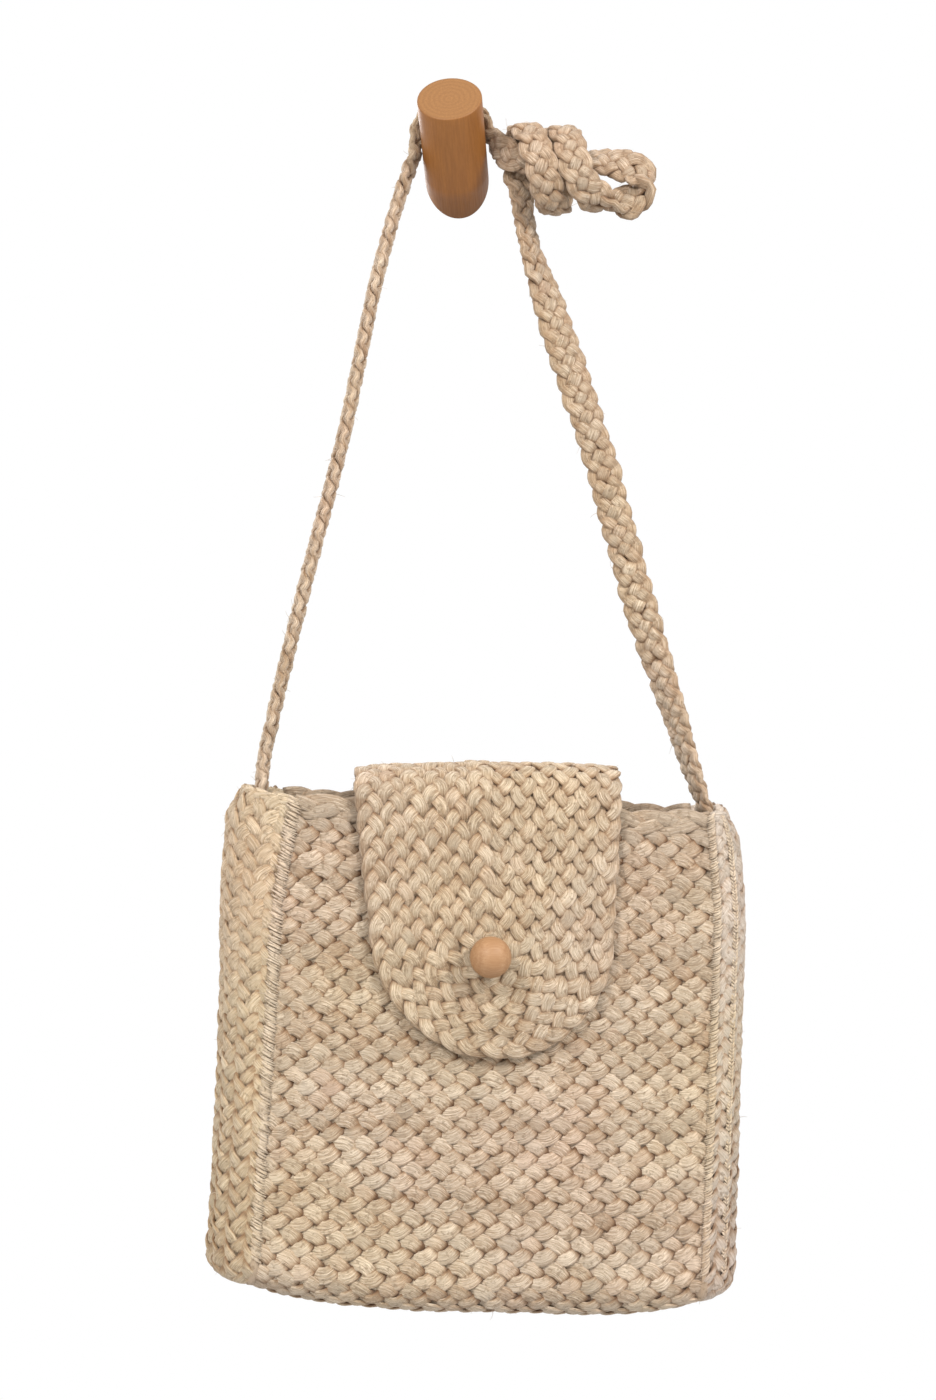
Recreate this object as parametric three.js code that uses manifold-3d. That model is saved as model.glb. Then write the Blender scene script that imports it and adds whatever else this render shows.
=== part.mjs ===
// A handbag of plaited jute, hung by its knotted strap on a round wooden peg that slopes up from a wall.
// Millimetres, +Z up. The bag stands square to the axes with its front towards -Y. The origin is the middle
// of the flat end of the peg, where it meets the wall.
import * as THREE from "three";
import { mergeVertices } from "three/addons/utils/BufferGeometryUtils.js";
import Module from "manifold-3d";

const wasm = await Module();
wasm.setup();

// Bag body
const BAG_HEIGHT = 241.2; // front rim above the lower end of the side seams
const BACK_RISE = 1.5; // back rim above the front rim
const SEAM_HALF_BOTTOM = 112.5; // middle of the bag to a side seam, at the bottom
const SEAM_HALF_TOP = 104; // the same, at the rim
const HALF_DEPTH = 21; // middle of the bag to the outside of the front or the back
const PLAIT_THICK = 4.6; // wall of sewn plaits
const PLAIT_WIDTH = 10.9; // one plait of the panel
const RIB_DEPTH = 0.8; // groove between two plaits
const BOTTOM_ROUND = 15; // radius where the front turns under
const BOTTOM_SAG = 9.5; // how far the middle of the bottom hangs below its ends
const BOTTOM_LEAN = 4.1; // how much lower the right end of the bottom hangs than the middle of the two
const SAG_REACH = 90; // height over which the sag dies out
const CROWN = 2; // swell of the front and the back
const GAP = 0.3; // clearance between two sewn pieces

// Gussets
const GUSSET_PLAITS = 6;
const GUSSET_CORNER = 14; // radius of the lower corner
const GUSSET_RISE = 2.5; // middle of the gusset's rim above the seams
const GUSSET_GATHER = 1.2; // how far the plaits' ends still stand out where they are gathered at the bottom
// Columns: bulge, how far the gusset stands out from its seams; opening, how much further towards the rim;
// pinch, how much the strap pulls the rim back in; reach, the height over which the pull shows
const GUSSETS = {
  left: { side: -1, bulge: 20, opening: 11.5, pinch: 8.5, reach: 14 },
  right: { side: 1, bulge: 20, opening: 0, pinch: 8.5, reach: 17 },
};

// Flap
const FLAP_HALF = 65;
const FLAP_PLAITS = 6; // nested U-shaped plaits
const FLAP_THICK = 5;
const FLAP_RIDGE = 261.4; // top of the flap above the bottom of the bag
const FLAP_TURN = 178.4; // height about which the plaits turn
const FLAP_TIP = 119.4; // lowest point of the flap
const FLAP_TAPER = 0.91; // width at the turn, as a share of the width at the ridge
const FLAP_SHIFT = -9.5; // the flap's middle line at the ridge
const FLAP_LEAN = 0.07; // sideways drift of that line for each millimetre down
const FLAP_CLEAR = 0.8; // front of the bag to the inside of the flap
const FLAP_SKEW = 0.16; // sideways drift of the arch over the mouth for each millimetre towards the back
const FLAP_TILT = 0.045; // rise of the ridge for each millimetre to the right
const FLAP_DROOP = 1.5; // how much lower both ends of the ridge are than its middle

// Button
const BEAD_RADIUS = 10;
const BUTTON_X = -8.3;
const BUTTON_Z = 168.4;
const CORD_RADIUS = 2.2;
const CORD_HOLE_RADIUS = 3;

// Strap
const STRAP_WIDTH = 16.5;
const STRAP_THICK = 7;
const STRAP_SIDES = 10;
const STRAP_STEPS_A_STATION = 2;

// Peg, and how the wall stands to the bag
const PEG_RADIUS = 16.3;
const PEG_LENGTH = 51;
const PEG_PITCH = 38.5; // degrees that the peg slopes upwards
const PEG_LEAN = -4; // degrees that it leans sideways
const PEG_EDGE = 0.8; // bevel round the free end
const PEG_SIDES = 40;
const HANG_YAW = 11.65; // degrees between the bag's back and the wall
const HANG_ROLL = 2.83; // degrees that the bag leans in the plane of the wall
const BAG_ORIGIN = new THREE.Vector3(25.4, -55.9, -558.4); // bottom middle of the bag from the peg's wall end

const JUTE = { color: 0xcdb083, roughness: 0.88, metalness: 0 };
const JUTE_SIDE = { color: 0xc2a87c, roughness: 0.9, metalness: 0 };
const WOOD = { color: 0xb87a45, roughness: 0.5, metalness: 0 };

const radians = THREE.MathUtils.degToRad;
const lerp = THREE.MathUtils.lerp;
const smoothstep = THREE.MathUtils.smoothstep;
const clamp = THREE.MathUtils.clamp;

// Shared makers

function volumeOf(geometry) {
  const corners = [new THREE.Vector3(), new THREE.Vector3(), new THREE.Vector3()];
  const place = geometry.attributes.position;
  let volume = 0;
  for (let i = 0; i < geometry.index.count; i += 3) {
    corners.forEach((corner, c) => corner.fromBufferAttribute(place, geometry.index.getX(i + c)));
    volume += corners[0].dot(corners[1].clone().cross(corners[2])) / 6;
  }
  return volume;
}

// Joins the vertices that meet, drops the triangles that closed up, and turns every face outwards.
function weld(geometry) {
  geometry.deleteAttribute("normal");
  geometry.deleteAttribute("uv");
  const joined = mergeVertices(geometry, 1e-3);
  const kept = [];
  for (let i = 0; i < joined.index.count; i += 3) {
    const [a, b, c] = [0, 1, 2].map((corner) => joined.index.getX(i + corner));
    if (a !== b && b !== c && a !== c) kept.push(a, b, c);
  }
  joined.setIndex(kept);
  joined.clearGroups();
  if (volumeOf(joined) < 0) joined.setIndex(kept.reverse());
  return joined;
}

// A slab cut into a grid and bent: place(u, v, outer) gives the point of the wall at u and v from 0 to 1, on
// its outer or its inner face. openSide names a side of the slab that closes on itself and needs no faces.
function bentSlab(uSteps, vSteps, place, openSide = -1) {
  const slab = new THREE.BoxGeometry(1, 1, 1, uSteps, vSteps, 1);
  const corner = new THREE.Vector3();
  const vertices = slab.attributes.position;
  if (openSide >= 0) {
    const { start, count } = slab.groups[openSide];
    const faces = Array.from(slab.index.array);
    faces.splice(start, count);
    slab.setIndex(faces);
  }
  for (let i = 0; i < vertices.count; i++) {
    corner.fromBufferAttribute(vertices, i).addScalar(0.5);
    vertices.setXYZ(i, ...place(corner.x, corner.y, corner.z > 0.5));
  }
  return weld(slab);
}

function solidOf(geometry) {
  const vertProperties = new Float32Array(geometry.attributes.position.array);
  const triVerts = new Uint32Array(geometry.index.array);
  return new wasm.Manifold(new wasm.Mesh({ numProp: 3, vertProperties, triVerts }));
}

function geometryOf(solid) {
  const { vertProperties, triVerts } = solid.getMesh();
  return new THREE.BufferGeometry()
    .setAttribute("position", new THREE.BufferAttribute(vertProperties, 3))
    .setIndex(new THREE.BufferAttribute(triVerts, 1));
}

// Depth of the groove between plaits at a count of plaits across, 0 on a plait's back.
function groove(plaits) {
  return RIB_DEPTH * (1 - Math.abs(Math.sin(Math.PI * plaits)));
}

// Form of the bag

function seamHalf(z) {
  const share = clamp(z / BAG_HEIGHT, 0, 1);
  const narrowing = SEAM_HALF_BOTTOM - SEAM_HALF_TOP;
  return SEAM_HALF_BOTTOM - narrowing * (0.4 * share + 0.6 * smoothstep(share, 0.75, 1));
}

// Swell of the front and the back at a place across the bag, -1 to 1 from seam to seam.
function swell(across, z) {
  return CROWN * (1 - across * across) * Math.sin(Math.PI * clamp(z / BAG_HEIGHT, 0, 1));
}

// How far the cloth has sunk, by its own weight, at a place across and up the bag.
function sink(across, z) {
  const share = clamp(1 - z / SAG_REACH, 0, 1);
  return (BOTTOM_SAG * (1 - across ** 4) + BOTTOM_LEAN * across) * share * share;
}

// Outer half depth of the bag at a height, with its lower edge rounded, set in by a distance.
function halfDepth(z, inset) {
  const round = BOTTOM_ROUND - inset;
  const below = clamp(BOTTOM_ROUND - z, 0, round);
  return HALF_DEPTH - BOTTOM_ROUND + Math.sqrt(round * round - below * below);
}

// Side view of the panel: down the front, under the bottom and up the back. Gives the place and the way out.
function panelLine(along) {
  const front = BAG_HEIGHT - BOTTOM_ROUND;
  const quarter = (Math.PI / 2) * BOTTOM_ROUND;
  const flat = 2 * (HALF_DEPTH - BOTTOM_ROUND);
  const middle = HALF_DEPTH - BOTTOM_ROUND;
  if (along < front) return { y: -HALF_DEPTH, z: BAG_HEIGHT - along, outY: -1, outZ: 0 };
  let left = along - front;
  if (left < quarter) return roundedCorner(-middle, Math.PI + left / BOTTOM_ROUND);
  left -= quarter;
  if (left < flat) return { y: -middle + left, z: 0, outY: 0, outZ: -1 };
  left -= flat;
  if (left < quarter) return roundedCorner(middle, 1.5 * Math.PI + left / BOTTOM_ROUND);
  return { y: HALF_DEPTH, z: BOTTOM_ROUND + left - quarter, outY: 1, outZ: 0 };
}

function roundedCorner(centreY, angle) {
  const outY = Math.cos(angle);
  const outZ = Math.sin(angle);
  return { y: centreY + BOTTOM_ROUND * outY, z: BOTTOM_ROUND * (1 + outZ), outY, outZ };
}

function panelLength() {
  const uprights = 2 * (BAG_HEIGHT - BOTTOM_ROUND) + BACK_RISE;
  return uprights + Math.PI * BOTTOM_ROUND + 2 * (HALF_DEPTH - BOTTOM_ROUND);
}

// Front, bottom and back

function bodyPanel() {
  const length = panelLength();
  const rows = Math.round(length / PLAIT_WIDTH);
  const stepsARow = 3;
  const stepsAcross = 5;
  return bentSlab(stepsAcross, rows * stepsARow, (u, v, outer) => {
    const line = panelLine(v * length);
    const dip = groove(v * rows);
    const depth = outer ? dip : PLAIT_THICK - dip;
    const across = 2 * u - 1;
    const z = line.z - line.outZ * depth;
    const y = line.y - line.outY * depth + Math.sign(line.outY) * Math.abs(line.outY) * swell(across, line.z);
    return [across * seamHalf(line.z), y, z - sink(across, line.z)];
  });
}

// Sides

// Outward reach of a gusset's middle beyond its seams at a height, set in by a distance.
function gussetBulge({ bulge, opening, pinch, reach }, z, inset) {
  const share = clamp(z / BAG_HEIGHT, 0, 1);
  const pulled = clamp((z - BAG_HEIGHT + reach) / reach, 0, 1) ** 1.5;
  const round = GUSSET_CORNER - inset;
  const below = clamp(GUSSET_CORNER - z, 0, round);
  const closing = Math.sqrt(1 - (below / round) ** 2);
  const widest = bulge + opening * share ** 3 - pinch * pulled - inset;
  return lerp(GUSSET_GATHER, widest, closing);
}

function gusset(form) {
  const stepsAPlait = 3;
  const stepsDown = 16;
  return bentSlab(GUSSET_PLAITS * stepsAPlait, stepsDown, (u, v, outer) => {
    const turn = Math.PI * u;
    const rim = BAG_HEIGHT + BACK_RISE * u + GUSSET_RISE * Math.sin(turn) ** 2;
    const inset = outer ? 0 : PLAIT_THICK;
    const down = (1 - Math.cos(Math.PI * v)) / 2;
    const z = lerp(rim, inset, down);
    const dip = groove(u * GUSSET_PLAITS) * (outer ? 1 : -1);
    const out = gussetBulge(form, z, inset) - dip * Math.sin(turn);
    const deep = halfDepth(z, inset) - dip;
    const x = form.side * (seamHalf(z) + GAP + out * Math.sin(turn));
    return [x, -deep * Math.cos(turn), z - sink(form.side, z)];
  });
}

// Flap

const FLAP_SPRING = BAG_HEIGHT + BACK_RISE + GAP; // height where the flap leaves the back
const FLAP_ARCH_UP = FLAP_RIDGE - FLAP_THICK / 2 - FLAP_SPRING;
const FLAP_BACK_Y = HALF_DEPTH - PLAIT_THICK / 2;
const FLAP_FRONT_Y = -(HALF_DEPTH + FLAP_CLEAR + FLAP_THICK / 2);
const FLAP_ARCH_DEEP = (FLAP_BACK_Y - FLAP_FRONT_Y) / 2;
const FLAP_ARCH_Y = (FLAP_BACK_Y + FLAP_FRONT_Y) / 2;
const FLAP_ARCH_LENGTH = Math.PI * Math.sqrt((FLAP_ARCH_UP ** 2 + FLAP_ARCH_DEEP ** 2) / 2);

// The flap's middle surface at a sideways distance and a length from the back rim: an arch over the mouth,
// then down the front.
function flapLine(aside, along) {
  if (along < FLAP_ARCH_LENGTH) {
    const angle = (Math.PI * along) / FLAP_ARCH_LENGTH;
    const up = FLAP_ARCH_UP + FLAP_TILT * aside - FLAP_DROOP * (aside / FLAP_HALF) ** 2;
    const out = new THREE.Vector2(Math.cos(angle) * up, Math.sin(angle) * FLAP_ARCH_DEEP).normalize();
    const y = FLAP_ARCH_Y + FLAP_ARCH_DEEP * Math.cos(angle);
    return { y, z: FLAP_SPRING + up * Math.sin(angle), outY: out.x, outZ: out.y, onFront: 0 };
  }
  return { y: FLAP_FRONT_Y, z: FLAP_SPRING - (along - FLAP_ARCH_LENGTH), outY: -1, outZ: 0, onFront: 1 };
}

// Point of the flap at a sideways distance and a length from the back rim, raised from its middle surface.
function flapPoint(aside, along, raise) {
  const line = flapLine(aside, along);
  const hanging = clamp((FLAP_SPRING - line.z) / (FLAP_SPRING - FLAP_TURN), 0, 1);
  const drift = FLAP_LEAN * line.onFront * (FLAP_SPRING - line.z) + FLAP_SKEW * (line.y - FLAP_FRONT_Y);
  const x = FLAP_SHIFT + drift + aside * lerp(1, FLAP_TAPER, hanging);
  const forward = line.onFront * swell(x / seamHalf(line.z), line.z);
  return [x, line.y + line.outY * raise - forward, line.z + line.outZ * raise];
}

function flap() {
  const turnAt = FLAP_ARCH_LENGTH + FLAP_SPRING - FLAP_TURN;
  const turnStretch = (FLAP_TURN - FLAP_TIP) / FLAP_HALF;
  const archSteps = 8;
  const frontSteps = 3;
  const turnSteps = 12;
  const sideSteps = archSteps + frontSteps;
  const allSteps = 2 * sideSteps + turnSteps;
  const stepsAPlait = 3;
  const alongSide = (step) =>
    step <= archSteps
      ? (FLAP_ARCH_LENGTH * step) / archSteps
      : lerp(FLAP_ARCH_LENGTH, turnAt, (step - archSteps) / frontSteps);
  const innerSide = 3; // the side of the slab that closes along the flap's middle line
  const closed = bentSlab(
    allSteps,
    FLAP_PLAITS * stepsAPlait,
    (u, v, outer) => {
      const step = Math.round(u * allSteps);
      const raise = (outer ? 1 : -1) * (FLAP_THICK / 2 - groove(v * FLAP_PLAITS));
      const reach = FLAP_HALF * v;
      if (step <= sideSteps) return flapPoint(-reach, alongSide(step), raise);
      if (step >= sideSteps + turnSteps) return flapPoint(reach, alongSide(allSteps - step), raise);
      const turn = (Math.PI * (step - sideSteps)) / turnSteps;
      return flapPoint(-reach * Math.cos(turn), turnAt + reach * turnStretch * Math.sin(turn), raise);
    },
    innerSide,
  );
  const hole = new THREE.CylinderGeometry(CORD_HOLE_RADIUS, CORD_HOLE_RADIUS, 4 * FLAP_THICK, 16);
  hole.translate(BUTTON_X, FLAP_FRONT_Y, BUTTON_Z);
  return geometryOf(solidOf(closed).subtract(solidOf(weld(hole))));
}

// Button

const BUTTON_FRONT_Y = -HALF_DEPTH - swell(BUTTON_X / seamHalf(BUTTON_Z), BUTTON_Z); // front of the bag there
const BEAD_Y = BUTTON_FRONT_Y - FLAP_CLEAR - FLAP_THICK - GAP - BEAD_RADIUS;

function buttonBead() {
  return weld(new THREE.SphereGeometry(BEAD_RADIUS, 20, 14));
}

function buttonCord() {
  const length = BUTTON_FRONT_Y - BEAD_Y - BEAD_RADIUS - 2 * GAP;
  return weld(new THREE.CylinderGeometry(CORD_RADIUS, CORD_RADIUS, length, 12));
}

// Wall axes: x to the right, y into the wall, z up the wall, from the peg's wall end

function wallBasis() {
  const yaw = radians(HANG_YAW);
  const roll = radians(HANG_ROLL);
  const into = new THREE.Vector3(Math.sin(yaw), Math.cos(yaw), 0);
  const level = new THREE.Vector3(Math.cos(yaw), -Math.sin(yaw), 0);
  const upright = new THREE.Vector3(0, 0, 1);
  const right = level.clone().multiplyScalar(Math.cos(roll)).addScaledVector(upright, Math.sin(roll));
  const up = upright.clone().multiplyScalar(Math.cos(roll)).addScaledVector(level, -Math.sin(roll));
  return new THREE.Matrix4().makeBasis(right, into, up);
}

const WALL_BASIS = wallBasis();
const onWall = (x, y, z) => new THREE.Vector3(x, y, z).applyMatrix4(WALL_BASIS);

// The peg's own directions in wall axes: along it, to its right, and away from the wall's foot above it
const PEG_ALONG = new THREE.Vector3(
  Math.sin(radians(PEG_LEAN)),
  -Math.cos(radians(PEG_PITCH)),
  Math.sin(radians(PEG_PITCH)),
).normalize();
const PEG_RIGHT = new THREE.Vector3(1, 0, 0).addScaledVector(PEG_ALONG, -PEG_ALONG.x).normalize();
const PEG_ABOVE = PEG_ALONG.clone().cross(PEG_RIGHT);

// A round bar, cut off along the wall and bevelled at its free end.
function wallPeg() {
  const profile = [
    new THREE.Vector2(0, 0),
    new THREE.Vector2(PEG_RADIUS, 0),
    new THREE.Vector2(PEG_RADIUS, PEG_LENGTH - PEG_EDGE),
    new THREE.Vector2(PEG_RADIUS - PEG_EDGE, PEG_LENGTH),
    new THREE.Vector2(0, PEG_LENGTH),
  ];
  const bar = new THREE.LatheGeometry(profile, PEG_SIDES);
  const vertices = bar.attributes.position;
  const local = new THREE.Vector3();
  for (let i = 0; i < vertices.count; i++) {
    local.fromBufferAttribute(vertices, i);
    const place = PEG_RIGHT.clone().multiplyScalar(local.x).addScaledVector(PEG_ABOVE, local.z);
    place.addScaledVector(PEG_ALONG, local.y);
    if (local.y === 0) place.addScaledVector(PEG_ALONG, -place.y / PEG_ALONG.y);
    vertices.setXYZ(i, place.x, local.y === 0 ? 0 : place.y, place.z);
  }
  return weld(bar);
}

// Strap: stations along its middle, each with the way that its outer face looks

// Columns: x, y and z of the band's middle, then x, y and z of the way its outer face looks, in wall axes
const LEFT_LEG = [
  [-94, -70, -300, -1, -0.1, 0],
  [-77, -55, -221, -1, 0, 0],
  [-57, -39, -139, -1, 0, 0],
  [-38, -21.5, -46, -1, 0, 0],
  [-25.5, -13.5, -2, -1, 0, 0],
];
const TO_THE_KNOT = [
  [23, -15, 11.5, 0.5, 0.85, 0.3],
  [29, -17.5, 6.5, 0.2, 0.9, 0.4],
  [38, -19.5, 5.5, 0, 0.7, 0.7],
  [54, -21, 4.5, 0, 0.2, 1],
  [70, -21, 4, 0, -0.9, 0.8],
];
const INTO_THE_WRAPS = [
  [75.5, -25.5, -18.5, 0, -0.4, -0.9],
  [67.5, -31, -14.5, 0.1, -0.9, -0.4],
];
const RIGHT_LEG = [
  [33, -7.5, -11, -0.8, 0.7, 0],
  [36.5, -12, -34, -1, 0.2, 0],
  [49, -15, -74, -0.35, 1, 0],
  [72, -18.5, -145, 0, 1, 0],
  [93, -22.5, -222, 0.3, 1, 0],
  [111.5, -25.5, -281, 1, 0.7, 0],
];
// Middle of the loop that sticks out of the knot, half its length and height, how much its upper run is
// tilted to the front, and how much its lower run leans to the back
const BIGHT = { x: 84, y: -21, z: -7.5, long: 11, high: 9.5, tilt: 2, lean: 0.85 };
// Start of the turns round the knot, half their depth and height, how much they rise and shrink from first to
// last, their distance from each other, and how much they lean
const WRAPS = {
  x: 64.9,
  y: -21,
  z: -2.5,
  deep: 15,
  high: 21.5,
  rise: 5,
  taper: 3,
  pitch: 18.6,
  slant: 0.15,
};
const WRAP_DEGREES = { from: 75, to: 630, step: 37 };
const OVER_PEG_Y = -11; // middle of the strap from the wall, where it lies over the peg
const STRAP_SEWN = 27; // length of an end inside its gusset

// Both ends hang down inside the gussets, against their walls. In the bag's axes, from the lowest point up.
function strapEnd(form) {
  const clear = 1.4;
  return [1, 0.67, 0.33, 0].map((share) => {
    const z = BAG_HEIGHT + 2 - STRAP_SEWN * share;
    const wall = seamHalf(z) + GAP + gussetBulge(form, z, PLAIT_THICK);
    const x = form.side * (wall - clear - STRAP_THICK / 2);
    return { place: new THREE.Vector3(x, 0, z).add(BAG_ORIGIN), face: new THREE.Vector3(form.side, 0, 0) };
  });
}

function wallStation([x, y, z, faceX, faceY, faceZ]) {
  return { place: onWall(x, y, z), face: onWall(faceX, faceY, faceZ) };
}

// Over the top of the peg, from its left side, at one distance from the wall.
function overThePeg() {
  const reach = PEG_RADIUS + 2 * GAP + STRAP_THICK / 2;
  return [180, 157, 134, 111, 88, 65, 42, 22].map((degrees) => {
    const face = PEG_RIGHT.clone().multiplyScalar(Math.cos(radians(degrees)));
    face.addScaledVector(PEG_ABOVE, Math.sin(radians(degrees)));
    const along = (OVER_PEG_Y - reach * face.y) / PEG_ALONG.y;
    const place = PEG_ALONG.clone().multiplyScalar(along).addScaledVector(face, reach);
    return wallStation([...place.toArray(), ...face.toArray()]);
  });
}

// The loop that sticks out of the knot, from its upper run round to its lower run.
function bight() {
  return [90, 54, 18, -18, -54, -90].map((degrees) => {
    const across = Math.cos(radians(degrees));
    const above = Math.sin(radians(degrees));
    const x = BIGHT.x + BIGHT.long * across;
    const z = BIGHT.z + BIGHT.high * above;
    const forward = (BIGHT.tilt * (1 + above) - BIGHT.lean * (1 - above)) / 2;
    return wallStation([x, BIGHT.y, z, across, -forward, above]);
  });
}

// The turns round the knot, from below, up the front, over the top and down the back, closing in as they go.
function wraps() {
  const { from, to, step } = WRAP_DEGREES;
  const stations = [];
  for (let degrees = from; degrees <= to; degrees += step) {
    const wound = (degrees - from) / (to - from);
    const forward = Math.sin(radians(degrees));
    const above = -Math.cos(radians(degrees));
    const high = WRAPS.high - WRAPS.taper * wound;
    const x = WRAPS.x - (WRAPS.pitch * degrees) / 360 - WRAPS.slant * high * above;
    const y = WRAPS.y - WRAPS.deep * forward;
    const z = WRAPS.z + WRAPS.rise * wound + high * above;
    stations.push(wallStation([x, y, z, 0, -forward / WRAPS.deep, above / high]));
  }
  return stations;
}

function strapStations() {
  return [
    ...strapEnd(GUSSETS.left),
    ...LEFT_LEG.map(wallStation),
    ...overThePeg(),
    ...TO_THE_KNOT.map(wallStation),
    ...bight(),
    ...INTO_THE_WRAPS.map(wallStation),
    ...wraps(),
    ...RIGHT_LEG.map(wallStation),
    ...strapEnd(GUSSETS.right).reverse(),
  ];
}

// An oval bar bent along the stations, with its flat side turned to each station's face.
function strap() {
  const stations = strapStations();
  const route = new THREE.CatmullRomCurve3(stations.map((station) => station.place));
  const facing = new THREE.CatmullRomCurve3(stations.map((station) => station.face.normalize()));
  const steps = (stations.length - 1) * STRAP_STEPS_A_STATION;
  const bar = new THREE.CylinderGeometry(1, 1, 1, STRAP_SIDES, steps);
  const vertices = bar.attributes.position;
  for (let i = 0; i < vertices.count; i++) {
    const share = clamp(vertices.getY(i) + 0.5, 0, 1);
    const ahead = route.getTangent(share);
    const side = facing.getPoint(share).cross(ahead).normalize();
    const face = ahead.clone().cross(side);
    const place = route.getPoint(share);
    place.addScaledVector(side, (vertices.getX(i) * STRAP_WIDTH) / 2);
    place.addScaledVector(face, (vertices.getZ(i) * STRAP_THICK) / 2);
    vertices.setXYZ(i, place.x, place.y, place.z);
  }
  return weld(bar);
}

// Assembly

function piece(name, geometry, finish) {
  geometry.computeVertexNormals();
  const mesh = new THREE.Mesh(geometry, new THREE.MeshStandardMaterial(finish));
  mesh.name = name;
  return mesh;
}

const bag = new THREE.Group();
bag.position.copy(BAG_ORIGIN);
bag.add(piece("body_panel", bodyPanel(), JUTE));
bag.add(piece("gusset_left", gusset(GUSSETS.left), JUTE_SIDE));
bag.add(piece("gusset_right", gusset(GUSSETS.right), JUTE_SIDE));
bag.add(piece("flap", flap(), JUTE));

const bead = piece("button_bead", buttonBead(), WOOD);
bead.position.set(BUTTON_X, BEAD_Y, BUTTON_Z);
bag.add(bead);

const cord = piece("button_cord", buttonCord(), JUTE);
cord.position.set(BUTTON_X, (BUTTON_FRONT_Y + BEAD_Y + BEAD_RADIUS) / 2, BUTTON_Z);
bag.add(cord);

const wallSide = new THREE.Group();
wallSide.quaternion.setFromRotationMatrix(WALL_BASIS);
wallSide.add(piece("wall_peg", wallPeg(), WOOD));

const handbag = new THREE.Group();
handbag.add(bag, wallSide, piece("strap", strap(), JUTE));

export default handbag;
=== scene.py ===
import math

import bpy
import numpy as np
from mathutils import Matrix, Vector


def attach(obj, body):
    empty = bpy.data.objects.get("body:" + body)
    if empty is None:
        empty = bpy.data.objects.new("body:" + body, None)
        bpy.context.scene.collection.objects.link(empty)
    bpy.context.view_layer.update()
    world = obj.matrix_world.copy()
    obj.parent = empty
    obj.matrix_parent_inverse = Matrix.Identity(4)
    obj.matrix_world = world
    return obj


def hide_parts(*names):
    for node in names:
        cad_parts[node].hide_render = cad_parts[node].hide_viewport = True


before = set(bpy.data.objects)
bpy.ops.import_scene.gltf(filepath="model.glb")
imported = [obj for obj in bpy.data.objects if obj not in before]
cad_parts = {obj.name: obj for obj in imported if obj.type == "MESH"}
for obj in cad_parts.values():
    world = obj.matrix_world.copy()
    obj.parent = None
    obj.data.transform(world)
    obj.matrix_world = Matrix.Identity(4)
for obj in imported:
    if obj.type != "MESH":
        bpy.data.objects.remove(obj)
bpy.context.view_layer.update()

# A handbag of plaited jute on a wall peg. Lengths are millimetres, and meshes are made in metres.
# The bag's axes run as the frame's do, with its front towards -Y, and BAG_ORIGIN is where they start.
MILLIMETRE = 0.001

# Bag body, as in the CAD model
BAG_HEIGHT = 241.2
BACK_RISE = 1.5
SEAM_HALF_BOTTOM = 112.5
SEAM_HALF_TOP = 104
SEAM_EVEN_TAPER = 0.4
SEAM_TOP_TAPER = 0.6
SEAM_TOP_FROM = 0.75
HALF_DEPTH = 21
PLAIT_THICK = 4.6
PLAIT_WIDTH = 10.9
BOTTOM_ROUND = 15
BOTTOM_SAG = 9.5
BOTTOM_LEAN = 4.1
SAG_REACH = 90
SAG_FLATNESS = 4
CROWN = 2
GAP = 0.3

# Gussets. "strand" is half the width of a strand of their plaits
GUSSET_PLAITS = 6
GUSSET_CORNER = 14
GUSSET_RISE = 2.5
GUSSET_GATHER = 1.2
GUSSET_RIM = 2.2
GUSSET_PULL_POWER = 1.5
GUSSET_OPENING_POWER = 3
GUSSETS = {
    "left": {"side": -1, "bulge": 20, "opening": 11.5, "pinch": 8.5, "reach": 14, "strand": 4.2},
    "right": {"side": 1, "bulge": 20, "opening": 0, "pinch": 8.5, "reach": 17, "strand": 3.8},
}

# Flap
FLAP_HALF = 65
FLAP_PLAITS = 6
FLAP_THICK = 5
FLAP_RIDGE = 261.4
FLAP_TURN = 178.4
FLAP_TIP = 119.4
FLAP_TAPER = 0.91
FLAP_SHIFT = -9.5
FLAP_LEAN = 0.07
FLAP_CLEAR = 0.8
FLAP_SKEW = 0.16
FLAP_TILT = 0.045
FLAP_DROOP = 1.5
FLAP_CORNER_POWER = 12
FLAP_OVERLAP = 0.8

# Button
BEAD_RADIUS = 10
BUTTON_X = -8.3
BUTTON_Z = 168.4
CORD_RADIUS = 2.2
CORD_TWIST_RADIUS = 1
CORD_TWIST_LENGTH = 6

# Strap and peg
STRAP_THICK = 7
STRAP_SEWN = 27
STRAP_END_RISE = 2
STRAP_END_CLEAR = 1.4
PEG_RADIUS = 16.3
PEG_LENGTH = 51
PEG_PITCH = math.radians(38.5)
PEG_LEAN = math.radians(-4)
PEG_EDGE = 0.8
HANG_YAW = math.radians(11.65)
HANG_ROLL = math.radians(2.83)
BAG_ORIGIN = np.array([25.4, -55.9, -558.4])

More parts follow.
